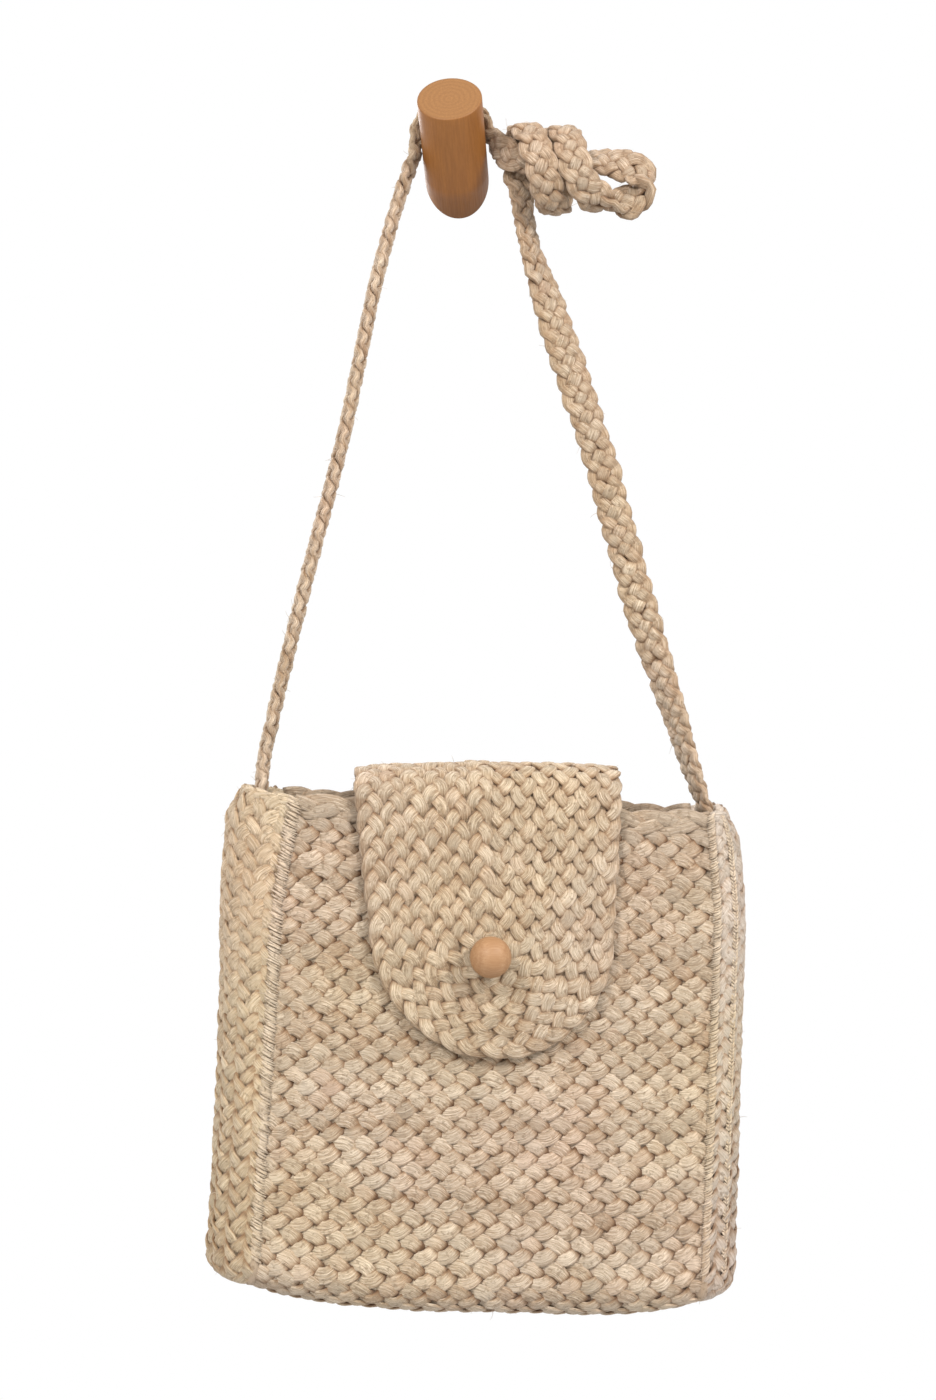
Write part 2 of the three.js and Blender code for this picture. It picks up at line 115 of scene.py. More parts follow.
# Plaits. A strand swings aside once a "cycle", in so many "steps", crosses the middle more steeply by "steep"
# and turns over ahead of its swing by "early". "loose" is how unevenly it runs, "lift" how far its middle
# rises, "wide" and "thick" are half sizes. For its painted shade, "open" is how far out its deepest point
# counts and "edge" the same for its edges; "pale" is how pale it is
PLAIT = {
    "strands": 3, "steps": 18, "loose": 1, "swing": 3.8, "steep": 0.2, "early": 0.3,
    "open": 0, "edge": 0.8, "pale": 0,
}
PANEL_PLAIT = {
    **PLAIT, "cycle": 36, "early": 0.1, "lift": 1.2, "wide": 3.9, "thick": 1.1,
    "open": -0.15, "edge": 0.95,
}
GUSSET_PLAIT = {
    **PLAIT, "cycle": 27, "loose": 1.3, "lift": 0.9, "thick": 1.3,
    "open": 0.25, "pale": -0.2,
}
FLAP_PLAIT = {
    **PLAIT, "cycle": 33, "steep": 0.3, "lift": 1.25, "wide": 3.3, "thick": 1.35,
    "edge": 0.75, "pale": -0.15,
}
STRAP_BRAID = {
    **PLAIT, "strands": 4, "cycle": 40, "steps": 26, "loose": 0.8, "swing": 5, "steep": -0.12,
    "lift": 1.9, "wide": 3.3, "thick": 1.7,
}
RIM_ROPE = {
    **PLAIT, "cycle": 54, "swing": 3.3, "steep": 0, "lift": 1, "wide": 3.5, "thick": 1.6,
    "open": 0.6,
}
GUSSET_GREYING = 0.1

# How sharply a strand turns over, in a plait of three and in the strap's braid of four
TURN_OF_THREE = 1.5
TURN_OF_FOUR = 2

# How unevenly strands run, and how far the leaves that they show differ in lightness and tint
UNEVEN_SWING = 0.14
UNEVEN_WIDTH = 0.09
UNEVEN_ASIDE = 0.22
UNEVEN_LIFT = 0.16
NARROWEST = 0.75
WIDEST = 1.3
LEAF_TONE = 0.5
LEAF_LIGHT_SPREAD = 0.14
LEAF_TINT_SPREAD = 0.09

# How the panel's rows differ: greyer towards the rims, painted darker towards the rims as shade, and a little
# unlike their neighbours
RIM_GREYING = 0.2
RIM_GREY_ROWS = 2
ROW_GREYING = 0.06
ROW_GREYING_PACE = 2.4
ROW_PALING = 0.2
ROW_PALING_PACE = 1.7
RIM_PAINTED_SHADE = 0.4
RIM_SHADE_ROWS = 16

# Camera
CAMERA_PLACE = np.array([-251.0, -1311.2, -267.4])
FOCAL_PIXELS = 2600
IMAGE_HEIGHT_PIXELS = 1400
SENSOR = 36


# Shared makers

TINY = 1e-9
GRAIN_MARKS = 900
STRAND_SIDES = 10
ROUND_SECTION = 2
FLAT_SECTION = 2.6
clamp = np.clip


def lerp(a, b, share):
    return a + (b - a) * share


def smoothstep(x, low, high):
    share = clamp((x - low) / (high - low), 0, 1)
    return share * share * (3 - 2 * share)


def unit(vectors):
    return vectors / np.maximum(np.linalg.norm(vectors, axis=-1, keepdims=True), TINY)


def lengths_along(points):
    """Length from the first point to each point of a line."""
    return np.concatenate([[0], np.cumsum(np.linalg.norm(np.diff(points, axis=0), axis=1))])


def wander(rng, along, spacing):
    """A smooth random line of about unit size, with a new value each spacing."""
    knots = np.arange(along.min() - spacing, along.max() + 2 * spacing, spacing)
    return np.interp(along, knots, rng.normal(0, 1, len(knots)))


def ripple(seed, amplitude, shortest, longest, waves=6):
    """A smooth random field over two lengths, the same for every strand that crosses it."""
    rng = np.random.default_rng(seed)
    length = rng.uniform(shortest, longest, waves)
    turn = rng.uniform(0, 2 * math.pi, waves)
    phase = rng.uniform(0, 2 * math.pi, waves)

    def height(a, b):
        total = 0
        for wave in range(waves):
            run = a * math.cos(turn[wave]) + b * math.sin(turn[wave])
            total = total + np.sin(2 * math.pi * run / length[wave] + phase[wave])
        return amplitude * total / math.sqrt(waves)

    return height


def new_object(name, data):
    made = bpy.data.objects.new(name, data)
    bpy.context.scene.collection.objects.link(made)
    return made


class Tubes:
    """Collects swept tubes into one mesh. Each vertex has its place inside its strand, in grain, and in tone
    its lightness, its tint and how far out of the wall it lies, which the jute turns into painted shade."""

    def __init__(self):
        self.points = []
        self.outward = []
        self.grain = []
        self.tone = []
        self.faces = []
        self.count = 0

    def add(self, rings, outward, grain, tone):
        steps, sides = rings.shape[:2]
        index = self.count + np.arange(steps * sides).reshape(steps, sides)
        following = np.roll(index, -1, axis=1)
        quads = np.stack([index[:-1], following[:-1], following[1:], index[1:]], axis=-1)
        self.faces.extend([quads.reshape(-1, 4), index[:1, ::-1], index[-1:]])
        self.points.append(rings.reshape(-1, 3))
        self.outward.append(outward.reshape(-1, 3))
        self.grain.append(grain.reshape(-1, 3))
        self.tone.append(tone.reshape(-1, 3))
        self.count += steps * sides

    def mesh(self, name):
        mesh = bpy.data.meshes.new(name)
        points = np.concatenate(self.points) * MILLIMETRE
        corners = np.concatenate([group.ravel() for group in self.faces])
        sizes = np.concatenate([np.full(len(group), group.shape[1]) for group in self.faces])
        starts = np.concatenate([[0], np.cumsum(sizes)[:-1]])
        mesh.vertices.add(len(points))
        mesh.vertices.foreach_set("co", points.ravel())
        mesh.loops.add(len(corners))
        mesh.loops.foreach_set("vertex_index", corners.astype(np.int32))
        mesh.polygons.add(len(starts))
        mesh.polygons.foreach_set("loop_start", starts.astype(np.int32))
        mesh.update(calc_edges=True)
        grain = mesh.attributes.new("grain", "FLOAT_VECTOR", "POINT")
        grain.data.foreach_set("vector", np.concatenate(self.grain).astype(np.float32).ravel())
        tone = np.concatenate(self.tone)
        colours = np.hstack([tone, np.ones((len(tone), 1))]).astype(np.float32)
        mesh.attributes.new("tone", "FLOAT_COLOR", "POINT").data.foreach_set("color", colours.ravel())
        mesh.shade_smooth()
        return mesh

    def piece(self, name, material, slot, nodes=()):
        mesh = self.mesh(name)
        mesh.materials.append(material)
        made = new_object(name, mesh)
        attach(made, "root")
        if nodes:
            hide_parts(*nodes)


def sweep(tubes, centre, normal, wide, thick, along, tone, rng, sides=STRAND_SIDES, squareness=FLAT_SECTION):
    """A tube of flattened round section along a line of points, its flat side turned to the normal. A random
    mark sets its grain apart from that of other tubes."""
    mark = rng.uniform(0, GRAIN_MARKS)
    ahead = unit(np.gradient(centre, axis=0))
    side = unit(np.cross(normal, ahead))
    up = np.cross(ahead, side)
    angle = 2 * math.pi * (np.arange(sides) + 0.5) / sides
    power = 2 / squareness
    across = np.sign(np.cos(angle)) * np.abs(np.cos(angle)) ** power
    above = np.sign(np.sin(angle)) * np.abs(np.sin(angle)) ** power
    reach = side[:, None] * (wide[:, None] * across)[..., None]
    reach = reach + up[:, None] * (thick[:, None] * above)[..., None]
    run = np.broadcast_to(along[:, None], (len(along), sides))
    grain = np.stack([run, wide[:, None] * across, thick[:, None] * above + mark], axis=-1)
    tubes.add(centre[:, None] + reach, unit(reach), grain, tone(thick[:, None] * above))


def plain_tone(light, tint, depth):
    """The tone of a tube that looks the same all over."""

    def tone(above):
        return np.broadcast_to(np.array([light, tint, depth]), above.shape + (3,))

    return tone


def strand_height(plait, swing):
    """Height of a strand above the wall's middle, as a share of its lift, at an angle of its swing."""
    if plait["strands"] == 3:
        return np.tanh(TURN_OF_THREE * np.sin(2 * swing + plait["early"])) / math.tanh(TURN_OF_THREE)
    return np.tanh(-TURN_OF_FOUR * np.cos(4 * swing) * np.cos(swing))


def braid(tubes, place, length, plait, rng, greying=0.0, paling=np.zeros_like):
    """Strands that swing from side to side and pass over and under each other. place(along, aside, out) gives
    points of the wall, and paling(along) says how much paler the strands are there."""
    strands = plait["strands"]
    half_cycle = plait["cycle"] / 2
    third_of_cycle = plait["cycle"] / 3
    along = np.linspace(0, length, round(length / plait["cycle"] * plait["steps"]) + 1)
    half = plait["lift"] + plait["thick"]

    def uneven(size, spacing):
        return size * plait["loose"] * wander(rng, along, spacing)

    for strand in range(strands):
        swing = 2 * math.pi * (along / plait["cycle"] + strand / strands)
        swing = swing + uneven(UNEVEN_SWING, half_cycle)
        width = 1 + uneven(UNEVEN_WIDTH, third_of_cycle)
        aside = plait["swing"] * np.sin(swing + plait["steep"] * np.sin(2 * swing))
        aside = aside + uneven(UNEVEN_ASIDE, third_of_cycle)
        out = plait["lift"] * strand_height(plait, swing) + uneven(UNEVEN_LIFT, third_of_cycle)
        centre = place(along, aside, out)
        normal = place(along, aside, out + 0.5) - place(along, aside, out - 0.5)
        leaf = np.floor((2 * swing + plait["early"]) / math.pi).astype(int)
        leaf = leaf - leaf.min()
        light = rng.normal(LEAF_TONE, LEAF_LIGHT_SPREAD, leaf.max() + 1)[leaf]
        light = clamp(light + plait["pale"] + paling(along), 0, 1)
        tint = clamp(rng.normal(LEAF_TONE + greying, LEAF_TINT_SPREAD, leaf.max() + 1), 0, 1)[leaf]

        # Painted shade: depth is how far out of the wall a point lies, and the jute is painted darker where
        # it is low
        def tone(above):
            depth = clamp(np.abs(out[:, None] + above) / half, 0, 1)
            depth = np.maximum(depth, plait["edge"] * np.abs(aside[:, None]) / plait["swing"])
            depth = lerp(plait["open"], 1, depth)
            return np.stack(np.broadcast_arrays(light[:, None], tint[:, None], depth), axis=-1)

        wide = plait["wide"] * clamp(width, NARROWEST, WIDEST)
        thick = np.full(len(along), float(plait["thick"]))
        sweep(tubes, centre, normal, wide, thick, along, tone, rng)


# Form of the bag, as in the CAD model


def seam_half(z):
    share = clamp(z / BAG_HEIGHT, 0, 1)
    narrowing = SEAM_HALF_BOTTOM - SEAM_HALF_TOP
    taper = SEAM_EVEN_TAPER * share + SEAM_TOP_TAPER * smoothstep(share, SEAM_TOP_FROM, 1)
    return SEAM_HALF_BOTTOM - narrowing * taper


def swell(across, z):
    return CROWN * (1 - across * across) * np.sin(math.pi * clamp(z / BAG_HEIGHT, 0, 1))


def sink(across, z):
    share = clamp(1 - z / SAG_REACH, 0, 1)
    return (BOTTOM_SAG * (1 - across**SAG_FLATNESS) + BOTTOM_LEAN * across) * share * share


def half_depth(z, inset):
    radius = BOTTOM_ROUND - inset
    below = clamp(BOTTOM_ROUND - z, 0, radius)
    return HALF_DEPTH - BOTTOM_ROUND + np.sqrt(radius * radius - below * below)


FRONT_LENGTH = BAG_HEIGHT - BOTTOM_ROUND
QUARTER_LENGTH = math.pi / 2 * BOTTOM_ROUND
FLAT_LENGTH = 2 * (HALF_DEPTH - BOTTOM_ROUND)
PANEL_LENGTH = 2 * FRONT_LENGTH + BACK_RISE + 2 * QUARTER_LENGTH + FLAT_LENGTH
PANEL_ROWS = round(PANEL_LENGTH / PLAIT_WIDTH)
ROW_WIDTH = PANEL_LENGTH / PANEL_ROWS
FRONT_ROWS = int((FRONT_LENGTH + QUARTER_LENGTH) / ROW_WIDTH) + 1

# Ripples of the rows and of the face, over a length across for which half the bag counts as RIPPLE_HALF
RIPPLE_HALF = 100
row_ripple = ripple(seed=11, amplitude=0.55, shortest=45, longest=120)
face_ripple = ripple(seed=12, amplitude=0.35, shortest=50, longest=130)


def panel_point(along, across, out):
    """Point of the wall down the front, under the bottom and up the back, raised from its middle surface."""
    past_front = along - FRONT_LENGTH
    past_bottom = past_front - QUARTER_LENGTH - FLAT_LENGTH
    first = clamp(past_front / BOTTOM_ROUND, 0, math.pi / 2)
    second = clamp(past_bottom / BOTTOM_ROUND, 0, math.pi / 2)
    out_y = np.cos(math.pi + first + second)
    out_z = np.sin(math.pi + first + second)
    middle_y = -FLAT_LENGTH / 2 + clamp(past_front - QUARTER_LENGTH, 0, FLAT_LENGTH)
    upright = np.maximum(-past_front, 0) + np.maximum(past_bottom - QUARTER_LENGTH, 0)
    y = middle_y + BOTTOM_ROUND * out_y
    z = BOTTOM_ROUND * (1 + out_z) + upright
    depth = PLAIT_THICK / 2 - out - face_ripple(across * RIPPLE_HALF, along)
    x = across * seam_half(z)
    y = y + out_y * (swell(across, z) - depth)
    return np.stack([x, y, z - out_z * depth - sink(across, z)], axis=-1) + BAG_ORIGIN


def panel_row(tubes, row, rng):
    """One plait across the bag, from its right seam to its left."""
    middle = (row + 0.5) * ROW_WIDTH
    half = seam_half(clamp(BAG_HEIGHT - middle, 0, BAG_HEIGHT))

    def place(along, aside, out):
        across = 1 - along / half
        up = aside + row_ripple(across * RIPPLE_HALF, middle)
        return panel_point(middle - up, across, out)

    from_rim = min(row, PANEL_ROWS - 1 - row)
    greying = ROW_GREYING * math.sin(ROW_GREYING_PACE * row)
    if from_rim < RIM_GREY_ROWS:
        greying = RIM_GREYING
    pale = ROW_PALING * math.sin(ROW_PALING_PACE * row)
    # Painted shade: the rows are darker the nearer they lie to a rim
    pale = pale - RIM_PAINTED_SHADE * clamp(1 - from_rim / RIM_SHADE_ROWS, 0, 1)
    plait = PANEL_PLAIT if from_rim else RIM_ROPE
    braid(tubes, place, 2 * half, plait, rng, greying=greying, paling=lambda along: pale)


def gusset_bulge(form, z, inset):
    share = clamp(z / BAG_HEIGHT, 0, 1)
    pulled = clamp((z - BAG_HEIGHT + form["reach"]) / form["reach"], 0, 1) ** GUSSET_PULL_POWER
    radius = GUSSET_CORNER - inset
    below = clamp(GUSSET_CORNER - z, 0, radius)
    closing = np.sqrt(np.maximum(1 - (below / radius) ** 2, 0))
    opened = form["bulge"] + form["opening"] * share**GUSSET_OPENING_POWER
    return lerp(GUSSET_GATHER, opened - form["pinch"] * pulled - inset, closing)


def gusset_point(form, u, down, out):
    """Point of a side at a share of the way round from front to back and from rim to bottom."""
    turn = math.pi * u
    rim = BAG_HEIGHT + BACK_RISE * u + GUSSET_RISE * np.sin(turn) ** 2
    inset = PLAIT_THICK / 2 - out
    z = lerp(rim, inset, down)
    x = form["side"] * (seam_half(z) + GAP + gusset_bulge(form, z, inset) * np.sin(turn))
    y = -half_depth(z, inset) * np.cos(turn)
    return np.stack([x, y, z - sink(form["side"], z)], axis=-1) + BAG_ORIGIN


GUSSET_ROUND_LENGTH = GUSSET_PLAITS * PLAIT_WIDTH
SPINE_STEPS = 600


def gusset_plaits(tubes, form, rng):
    share = np.linspace(0, 1, SPINE_STEPS)
    spine = gusset_point(form, 0.5 + 0 * share, share, 0 * share)
    lengths = lengths_along(spine)
    plait = {**GUSSET_PLAIT, "wide": form["strand"]}
    for number in range(GUSSET_PLAITS):
        middle = (number + 0.5) / GUSSET_PLAITS

        def place(along, aside, out):
            down = np.interp(along + GUSSET_RIM, lengths, share)
            return gusset_point(form, middle + aside / GUSSET_ROUND_LENGTH, down, out)

        braid(tubes, place, lengths[-1] - GUSSET_RIM, plait, rng, greying=GUSSET_GREYING)
    gusset_rim(tubes, form, rng)


RIM_EDGE = {"strands": 2, "twists": 2.5, "radius": 1.9, "light": (0.3, 0.7), "tint": 0.6, "depth": 0.95}
RIM_EDGE_STEPS = 60


def gusset_rim(tubes, form, rng):
    """The turned edge along the top of a side, twisted strands that close the ends of its plaits."""
    edge = RIM_EDGE
    u = np.linspace(0, 1, RIM_EDGE_STEPS)
    for strand in range(edge["strands"]):
        twist = 2 * math.pi * (edge["twists"] * u + strand / edge["strands"])
        down = (GUSSET_RIM + np.sin(twist)) / BAG_HEIGHT
        centre = gusset_point(form, u, down, np.cos(twist))
        normal = gusset_point(form, u, down, 0 * u + 1) - gusset_point(form, u, down, 0 * u - 1)
        tone = plain_tone(rng.uniform(*edge["light"]), edge["tint"], edge["depth"])
        thick = np.full(len(u), edge["radius"])
        sweep(tubes, centre, normal, thick, thick, u * GUSSET_ROUND_LENGTH, tone, rng)


FLAP_SPRING = BAG_HEIGHT + BACK_RISE + GAP
FLAP_ARCH_UP = FLAP_RIDGE - FLAP_THICK / 2 - FLAP_SPRING
FLAP_BACK_Y = HALF_DEPTH - PLAIT_THICK / 2
FLAP_FRONT_Y = -(HALF_DEPTH + FLAP_CLEAR + FLAP_THICK / 2)
FLAP_ARCH_DEEP = (FLAP_BACK_Y - FLAP_FRONT_Y) / 2
FLAP_ARCH_Y = (FLAP_BACK_Y + FLAP_FRONT_Y) / 2
FLAP_ARCH_LENGTH = math.pi * math.sqrt((FLAP_ARCH_UP**2 + FLAP_ARCH_DEEP**2) / 2)
FLAP_TURN_AT = FLAP_ARCH_LENGTH + FLAP_SPRING - FLAP_TURN
FLAP_TURN_STRETCH = (FLAP_TURN - FLAP_TIP) / FLAP_HALF
FLAP_OVERLAP_FADE = (0.2 * math.pi, 0.8 * math.pi)


def flap_point(aside, along, out):
    """Point of the flap: an arch from the back rim over the mouth, then down the front."""
    angle = math.pi * clamp(along / FLAP_ARCH_LENGTH, 0, 1)
    on_front = along > FLAP_ARCH_LENGTH
    edge = aside / FLAP_HALF
    up = FLAP_ARCH_UP + FLAP_TILT * aside - FLAP_DROOP * (edge**2 + edge**FLAP_CORNER_POWER)
    way_out = unit(np.stack([np.cos(angle) * up, np.sin(angle) * FLAP_ARCH_DEEP], axis=-1))
    y = FLAP_ARCH_Y + FLAP_ARCH_DEEP * np.cos(angle)
    z = FLAP_SPRING + up * np.sin(angle) - np.maximum(along - FLAP_ARCH_LENGTH, 0)
    hanging = clamp((FLAP_SPRING - z) / (FLAP_SPRING - FLAP_TURN), 0, 1)
    drift = FLAP_LEAN * on_front * (FLAP_SPRING - z) + FLAP_SKEW * (y - FLAP_FRONT_Y)
    x = FLAP_SHIFT + drift + aside * lerp(1, FLAP_TAPER, hanging)
    forward = on_front * swell(x / seam_half(z), z)
    y = y + way_out[..., 0] * out - forward
    return np.stack([x, y, z + way_out[..., 1] * out], axis=-1) + BAG_ORIGIN


def flap_plait(tubes, number, rng):
    """One U-shaped plait, down the left side, round the tip and up the right side to the back rim. The two
    sides of the innermost one meet, and its left side lies a little over its right."""
    middle = (number + 0.5) * FLAP_HALF / FLAP_PLAITS
    bend = (FLAP_TAPER + FLAP_TURN_STRETCH) / 2 * middle
    turn_length = math.pi * bend
    length = 2 * FLAP_TURN_AT + turn_length
    overlap = FLAP_OVERLAP if number == 0 else 0

    def place(along, aside, out):
        reach = middle + aside
        turn = clamp((along - FLAP_TURN_AT) / turn_length, 0, 1) * math.pi
        before = np.minimum(along, FLAP_TURN_AT)
        after = np.minimum(length - along, FLAP_TURN_AT)
        down = np.minimum(before, after) + reach * FLAP_TURN_STRETCH * np.sin(turn)
        over = overlap * (1 - smoothstep(turn, *FLAP_OVERLAP_FADE))
        return flap_point(-reach * np.cos(turn), down, out + over)

    swings = round(length / FLAP_PLAIT["cycle"])
    braid(tubes, place, length, {**FLAP_PLAIT, "cycle": length / swings}, rng)


# Strap, along the CAD model's stations, with its faces turned a little in places

INTO_WALL = np.array([math.sin(HANG_YAW), math.cos(HANG_YAW), 0])
LEVEL = np.array([math.cos(HANG_YAW), -math.sin(HANG_YAW), 0])
UPRIGHT = np.array([0.0, 0.0, 1.0])
WALL_RIGHT = math.cos(HANG_ROLL) * LEVEL + math.sin(HANG_ROLL) * UPRIGHT
WALL_UP = math.cos(HANG_ROLL) * UPRIGHT - math.sin(HANG_ROLL) * LEVEL
WALL_BASIS = np.stack([WALL_RIGHT, INTO_WALL, WALL_UP])

PEG_ALONG = unit(np.array([math.sin(PEG_LEAN), -math.cos(PEG_PITCH), math.sin(PEG_PITCH)]))
PEG_RIGHT = unit(np.array([1.0, 0.0, 0.0]) - PEG_ALONG[0] * PEG_ALONG)
PEG_ABOVE = np.cross(PEG_ALONG, PEG_RIGHT)

# Columns: x, y and z of the band's middle, then x, y and z of the way its outer face looks, in wall axes
LEFT_LEG = [
    [-94, -70, -300, -1, -0.1, 0],
    [-77, -55, -221, -1, -0.12, 0],
    [-57, -39, -139, -1, -0.12, 0],
    [-38, -21.5, -46, -1, -0.08, 0],
    [-25.5, -13.5, -2, -1, 0, 0],
]
TO_THE_KNOT = [
    [23, -15, 11.5, 0.5, 0.85, 0.3],
    [29, -17.5, 6.5, 0.2, 0.9, 0.4],
    [38, -19.5, 5.5, 0, 0.7, 0.7],
    [54, -21, 4.5, 0, 0.2, 1],
    [70, -21, 4, 0, -0.9, 0.8],
]
INTO_THE_WRAPS = [
    [75.5, -25.5, -18.5, 0, 0.1, -1],
    [67.5, -31, -14.5, 0.1, -0.9, -0.4],
]
RIGHT_LEG = [
    [33, -7.5, -11, -0.8, 0.7, 0],
    [36.5, -12, -34, -0.83, 0.55, 0],
    [49, -15, -74, -0.35, 1, 0],
    [72, -18.5, -145, 0, 1, 0],
    [93, -22.5, -222, 0.3, 1, 0],
    [111.5, -25.5, -281, 1, 0.7, 0],
]
BIGHT = {"x": 84, "y": -21, "z": -7.5, "long": 11, "high": 9.5, "tilt": 3.2, "lean": 2.8}
BIGHT_DEGREES = [90, 54, 18, -18, -54, -90]
WRAPS = {"x": 64.9, "y": -21, "z": -2.5, "deep": 15, "high": 21.5, "rise": 5, "taper": 3}
WRAP_PITCH = 18.6
WRAP_SLANT = 0.15
WRAP_FIRST_DEGREE = 75
WRAP_LAST_DEGREE = 630
WRAP_STEP_DEGREES = 37
OVER_PEG_Y = -11
OVER_PEG_DEGREES = [180, 157, 134, 111, 88, 65, 42, 22]
STRAP_END_SHARES = [1, 0.67, 0.33, 0]

# Columns: number of a station, how much wider and how much thicker the braid spreads there
BRAID_SPREAD = np.array([
    [3, 1, 1],
    [5, 1.1, 1.2],
    [7, 1.1, 1.2],
    [9, 1, 1],
    [20, 1, 1],
    [22, 1.3, 1.1],
    [27, 1.35, 1.1],
    [30, 1.12, 1],
    [45, 1.12, 1],
    [48, 1.16, 1.1],
    [50, 1.16, 1.1],
    [52, 1, 1],
])
# Columns: number of a station, how much paler the braid is there. This is painted shade, darker from the top
# of the peg through the knot to the top of the right leg, and a little paler up to the peg
BRAID_SHADING = np.array([[9, 0.1], [16, -0.4], [48, -0.5], [50, -0.3], [52, 0]])
CURVE_STEPS = 40
SAME_PLACE = 1e-4


def strap_end(form):
    """The stations of an end that is sewn inside a gusset, from its tip up to the rim."""
    stations = []
    for share in STRAP_END_SHARES:
        z = BAG_HEIGHT + STRAP_END_RISE - STRAP_SEWN * share
        wall = seam_half(z) + GAP + gusset_bulge(form, z, PLAIT_THICK)
        x = form["side"] * (wall - STRAP_END_CLEAR - STRAP_THICK / 2)
        stations.append((np.array([x, 0, z]) + BAG_ORIGIN, np.array([form["side"], 0.0, 0.0])))
    return stations


def wall_station(x, y, z, face_x, face_y, face_z):
    face = unit(np.array([face_x, face_y, face_z], float))
    return np.array([x, y, z]) @ WALL_BASIS, face @ WALL_BASIS


def over_the_peg():
    reach = PEG_RADIUS + 2 * GAP + STRAP_THICK / 2
    stations = []
    for degrees in OVER_PEG_DEGREES:
        angle = math.radians(degrees)
        face = PEG_RIGHT * math.cos(angle) + PEG_ABOVE * math.sin(angle)
        along = (OVER_PEG_Y - reach * face[1]) / PEG_ALONG[1]
        stations.append(wall_station(*(PEG_ALONG * along + face * reach), *face))
    return stations


def bight():
    """The bend of the loop that stands out of the knot."""
    stations = []
    for degrees in BIGHT_DEGREES:
        across = math.cos(math.radians(degrees))
        above = math.sin(math.radians(degrees))
        x = BIGHT["x"] + BIGHT["long"] * across
        z = BIGHT["z"] + BIGHT["high"] * above
        forward = (BIGHT["tilt"] * (1 + above) - BIGHT["lean"] * (1 - above)) / 2
        stations.append(wall_station(x, BIGHT["y"], z, across, -forward, above))
    return stations


def wraps():
    """The turns of the knot round the loop's two sides."""
    stations = []
    for degrees in range(WRAP_FIRST_DEGREE, WRAP_LAST_DEGREE + 1, WRAP_STEP_DEGREES):
        wound = (degrees - WRAP_FIRST_DEGREE) / (WRAP_LAST_DEGREE - WRAP_FIRST_DEGREE)
        forward = math.sin(math.radians(degrees))
        above = -math.cos(math.radians(degrees))
        high = WRAPS["high"] - WRAPS["taper"] * wound
        x = WRAPS["x"] - WRAP_PITCH * degrees / 360 - WRAP_SLANT * high * above
        y = WRAPS["y"] - WRAPS["deep"] * forward
        z = WRAPS["z"] + WRAPS["rise"] * wound + high * above
        stations.append(wall_station(x, y, z, 0, -forward / WRAPS["deep"], above / high))
    return stations


def strap_stations():
    return [
        *strap_end(GUSSETS["left"]),
        *[wall_station(*row) for row in LEFT_LEG],
        *over_the_peg(),
        *[wall_station(*row) for row in TO_THE_KNOT],
        *bight(),
        *[wall_station(*row) for row in INTO_THE_WRAPS],
        *wraps(),
        *[wall_station(*row) for row in RIGHT_LEG],
        *strap_end(GUSSETS["right"])[::-1],
    ]


def centripetal_curve(points, steps):
    """A centripetal Catmull-Rom curve through points, with the same number of steps between each two."""
    first = 2 * points[0] - points[1]
    last = 2 * points[-1] - points[-2]
    points = np.vstack([first, points, last])
    share = np.arange(steps)[:, None] / steps
    runs = []
    for before, start, end, after in zip(points, points[1:], points[2:], points[3:]):
        span = [np.linalg.norm(pair) ** 0.5 for pair in (start - before, end - start, after - end)]
        span[1] = span[1] if span[1] > SAME_PLACE else 1
        span = [each if each > SAME_PLACE else span[1] for each in span]
        leave = (start - before) / span[0] - (end - before) / (span[0] + span[1]) + (end - start) / span[1]
        reach = (end - start) / span[1] - (after - start) / (span[1] + span[2]) + (after - end) / span[2]
        leave = leave * span[1]
        reach = reach * span[1]
        square = -3 * start + 3 * end - 2 * leave - reach
        cube = 2 * start - 2 * end + leave + reach
        runs.append(start + leave * share + square * share**2 + cube * share**3)
    return np.vstack([*runs, points[-2:-1]])


def strap_braid(tubes, rng):
    stations = strap_stations()
    route = centripetal_curve(np.array([place for place, _ in stations]), CURVE_STEPS)
    facing = centripetal_curve(np.array([face for _, face in stations]), CURVE_STEPS)
    ahead = unit(np.gradient(route, axis=0))
    side = unit(np.cross(facing, ahead))
    face = np.cross(ahead, side)
    station = np.arange(len(route)) / CURVE_STEPS
    side = side * np.interp(station, BRAID_SPREAD[:, 0], BRAID_SPREAD[:, 1])[:, None]
    face = face * np.interp(station, BRAID_SPREAD[:, 0], BRAID_SPREAD[:, 2])[:, None]
    lengths = lengths_along(route)

    def along_strap(values, along):
        return np.stack([np.interp(along, lengths, values[:, axis]) for axis in range(3)], axis=-1)

    def place(along, aside, out):
        middle = along_strap(route, along)
        return middle + along_strap(side, along) * aside[:, None] + along_strap(face, along) * out[:, None]

    # Painted shade along the strap, as the table of stations gives it
    def paling(along):
        return np.interp(np.interp(along, lengths, station), BRAID_SHADING[:, 0], BRAID_SHADING[:, 1])

    braid(tubes, place, lengths[-1], STRAP_BRAID, rng, paling=paling)


# Threads: stitches along the seams and loose fibres

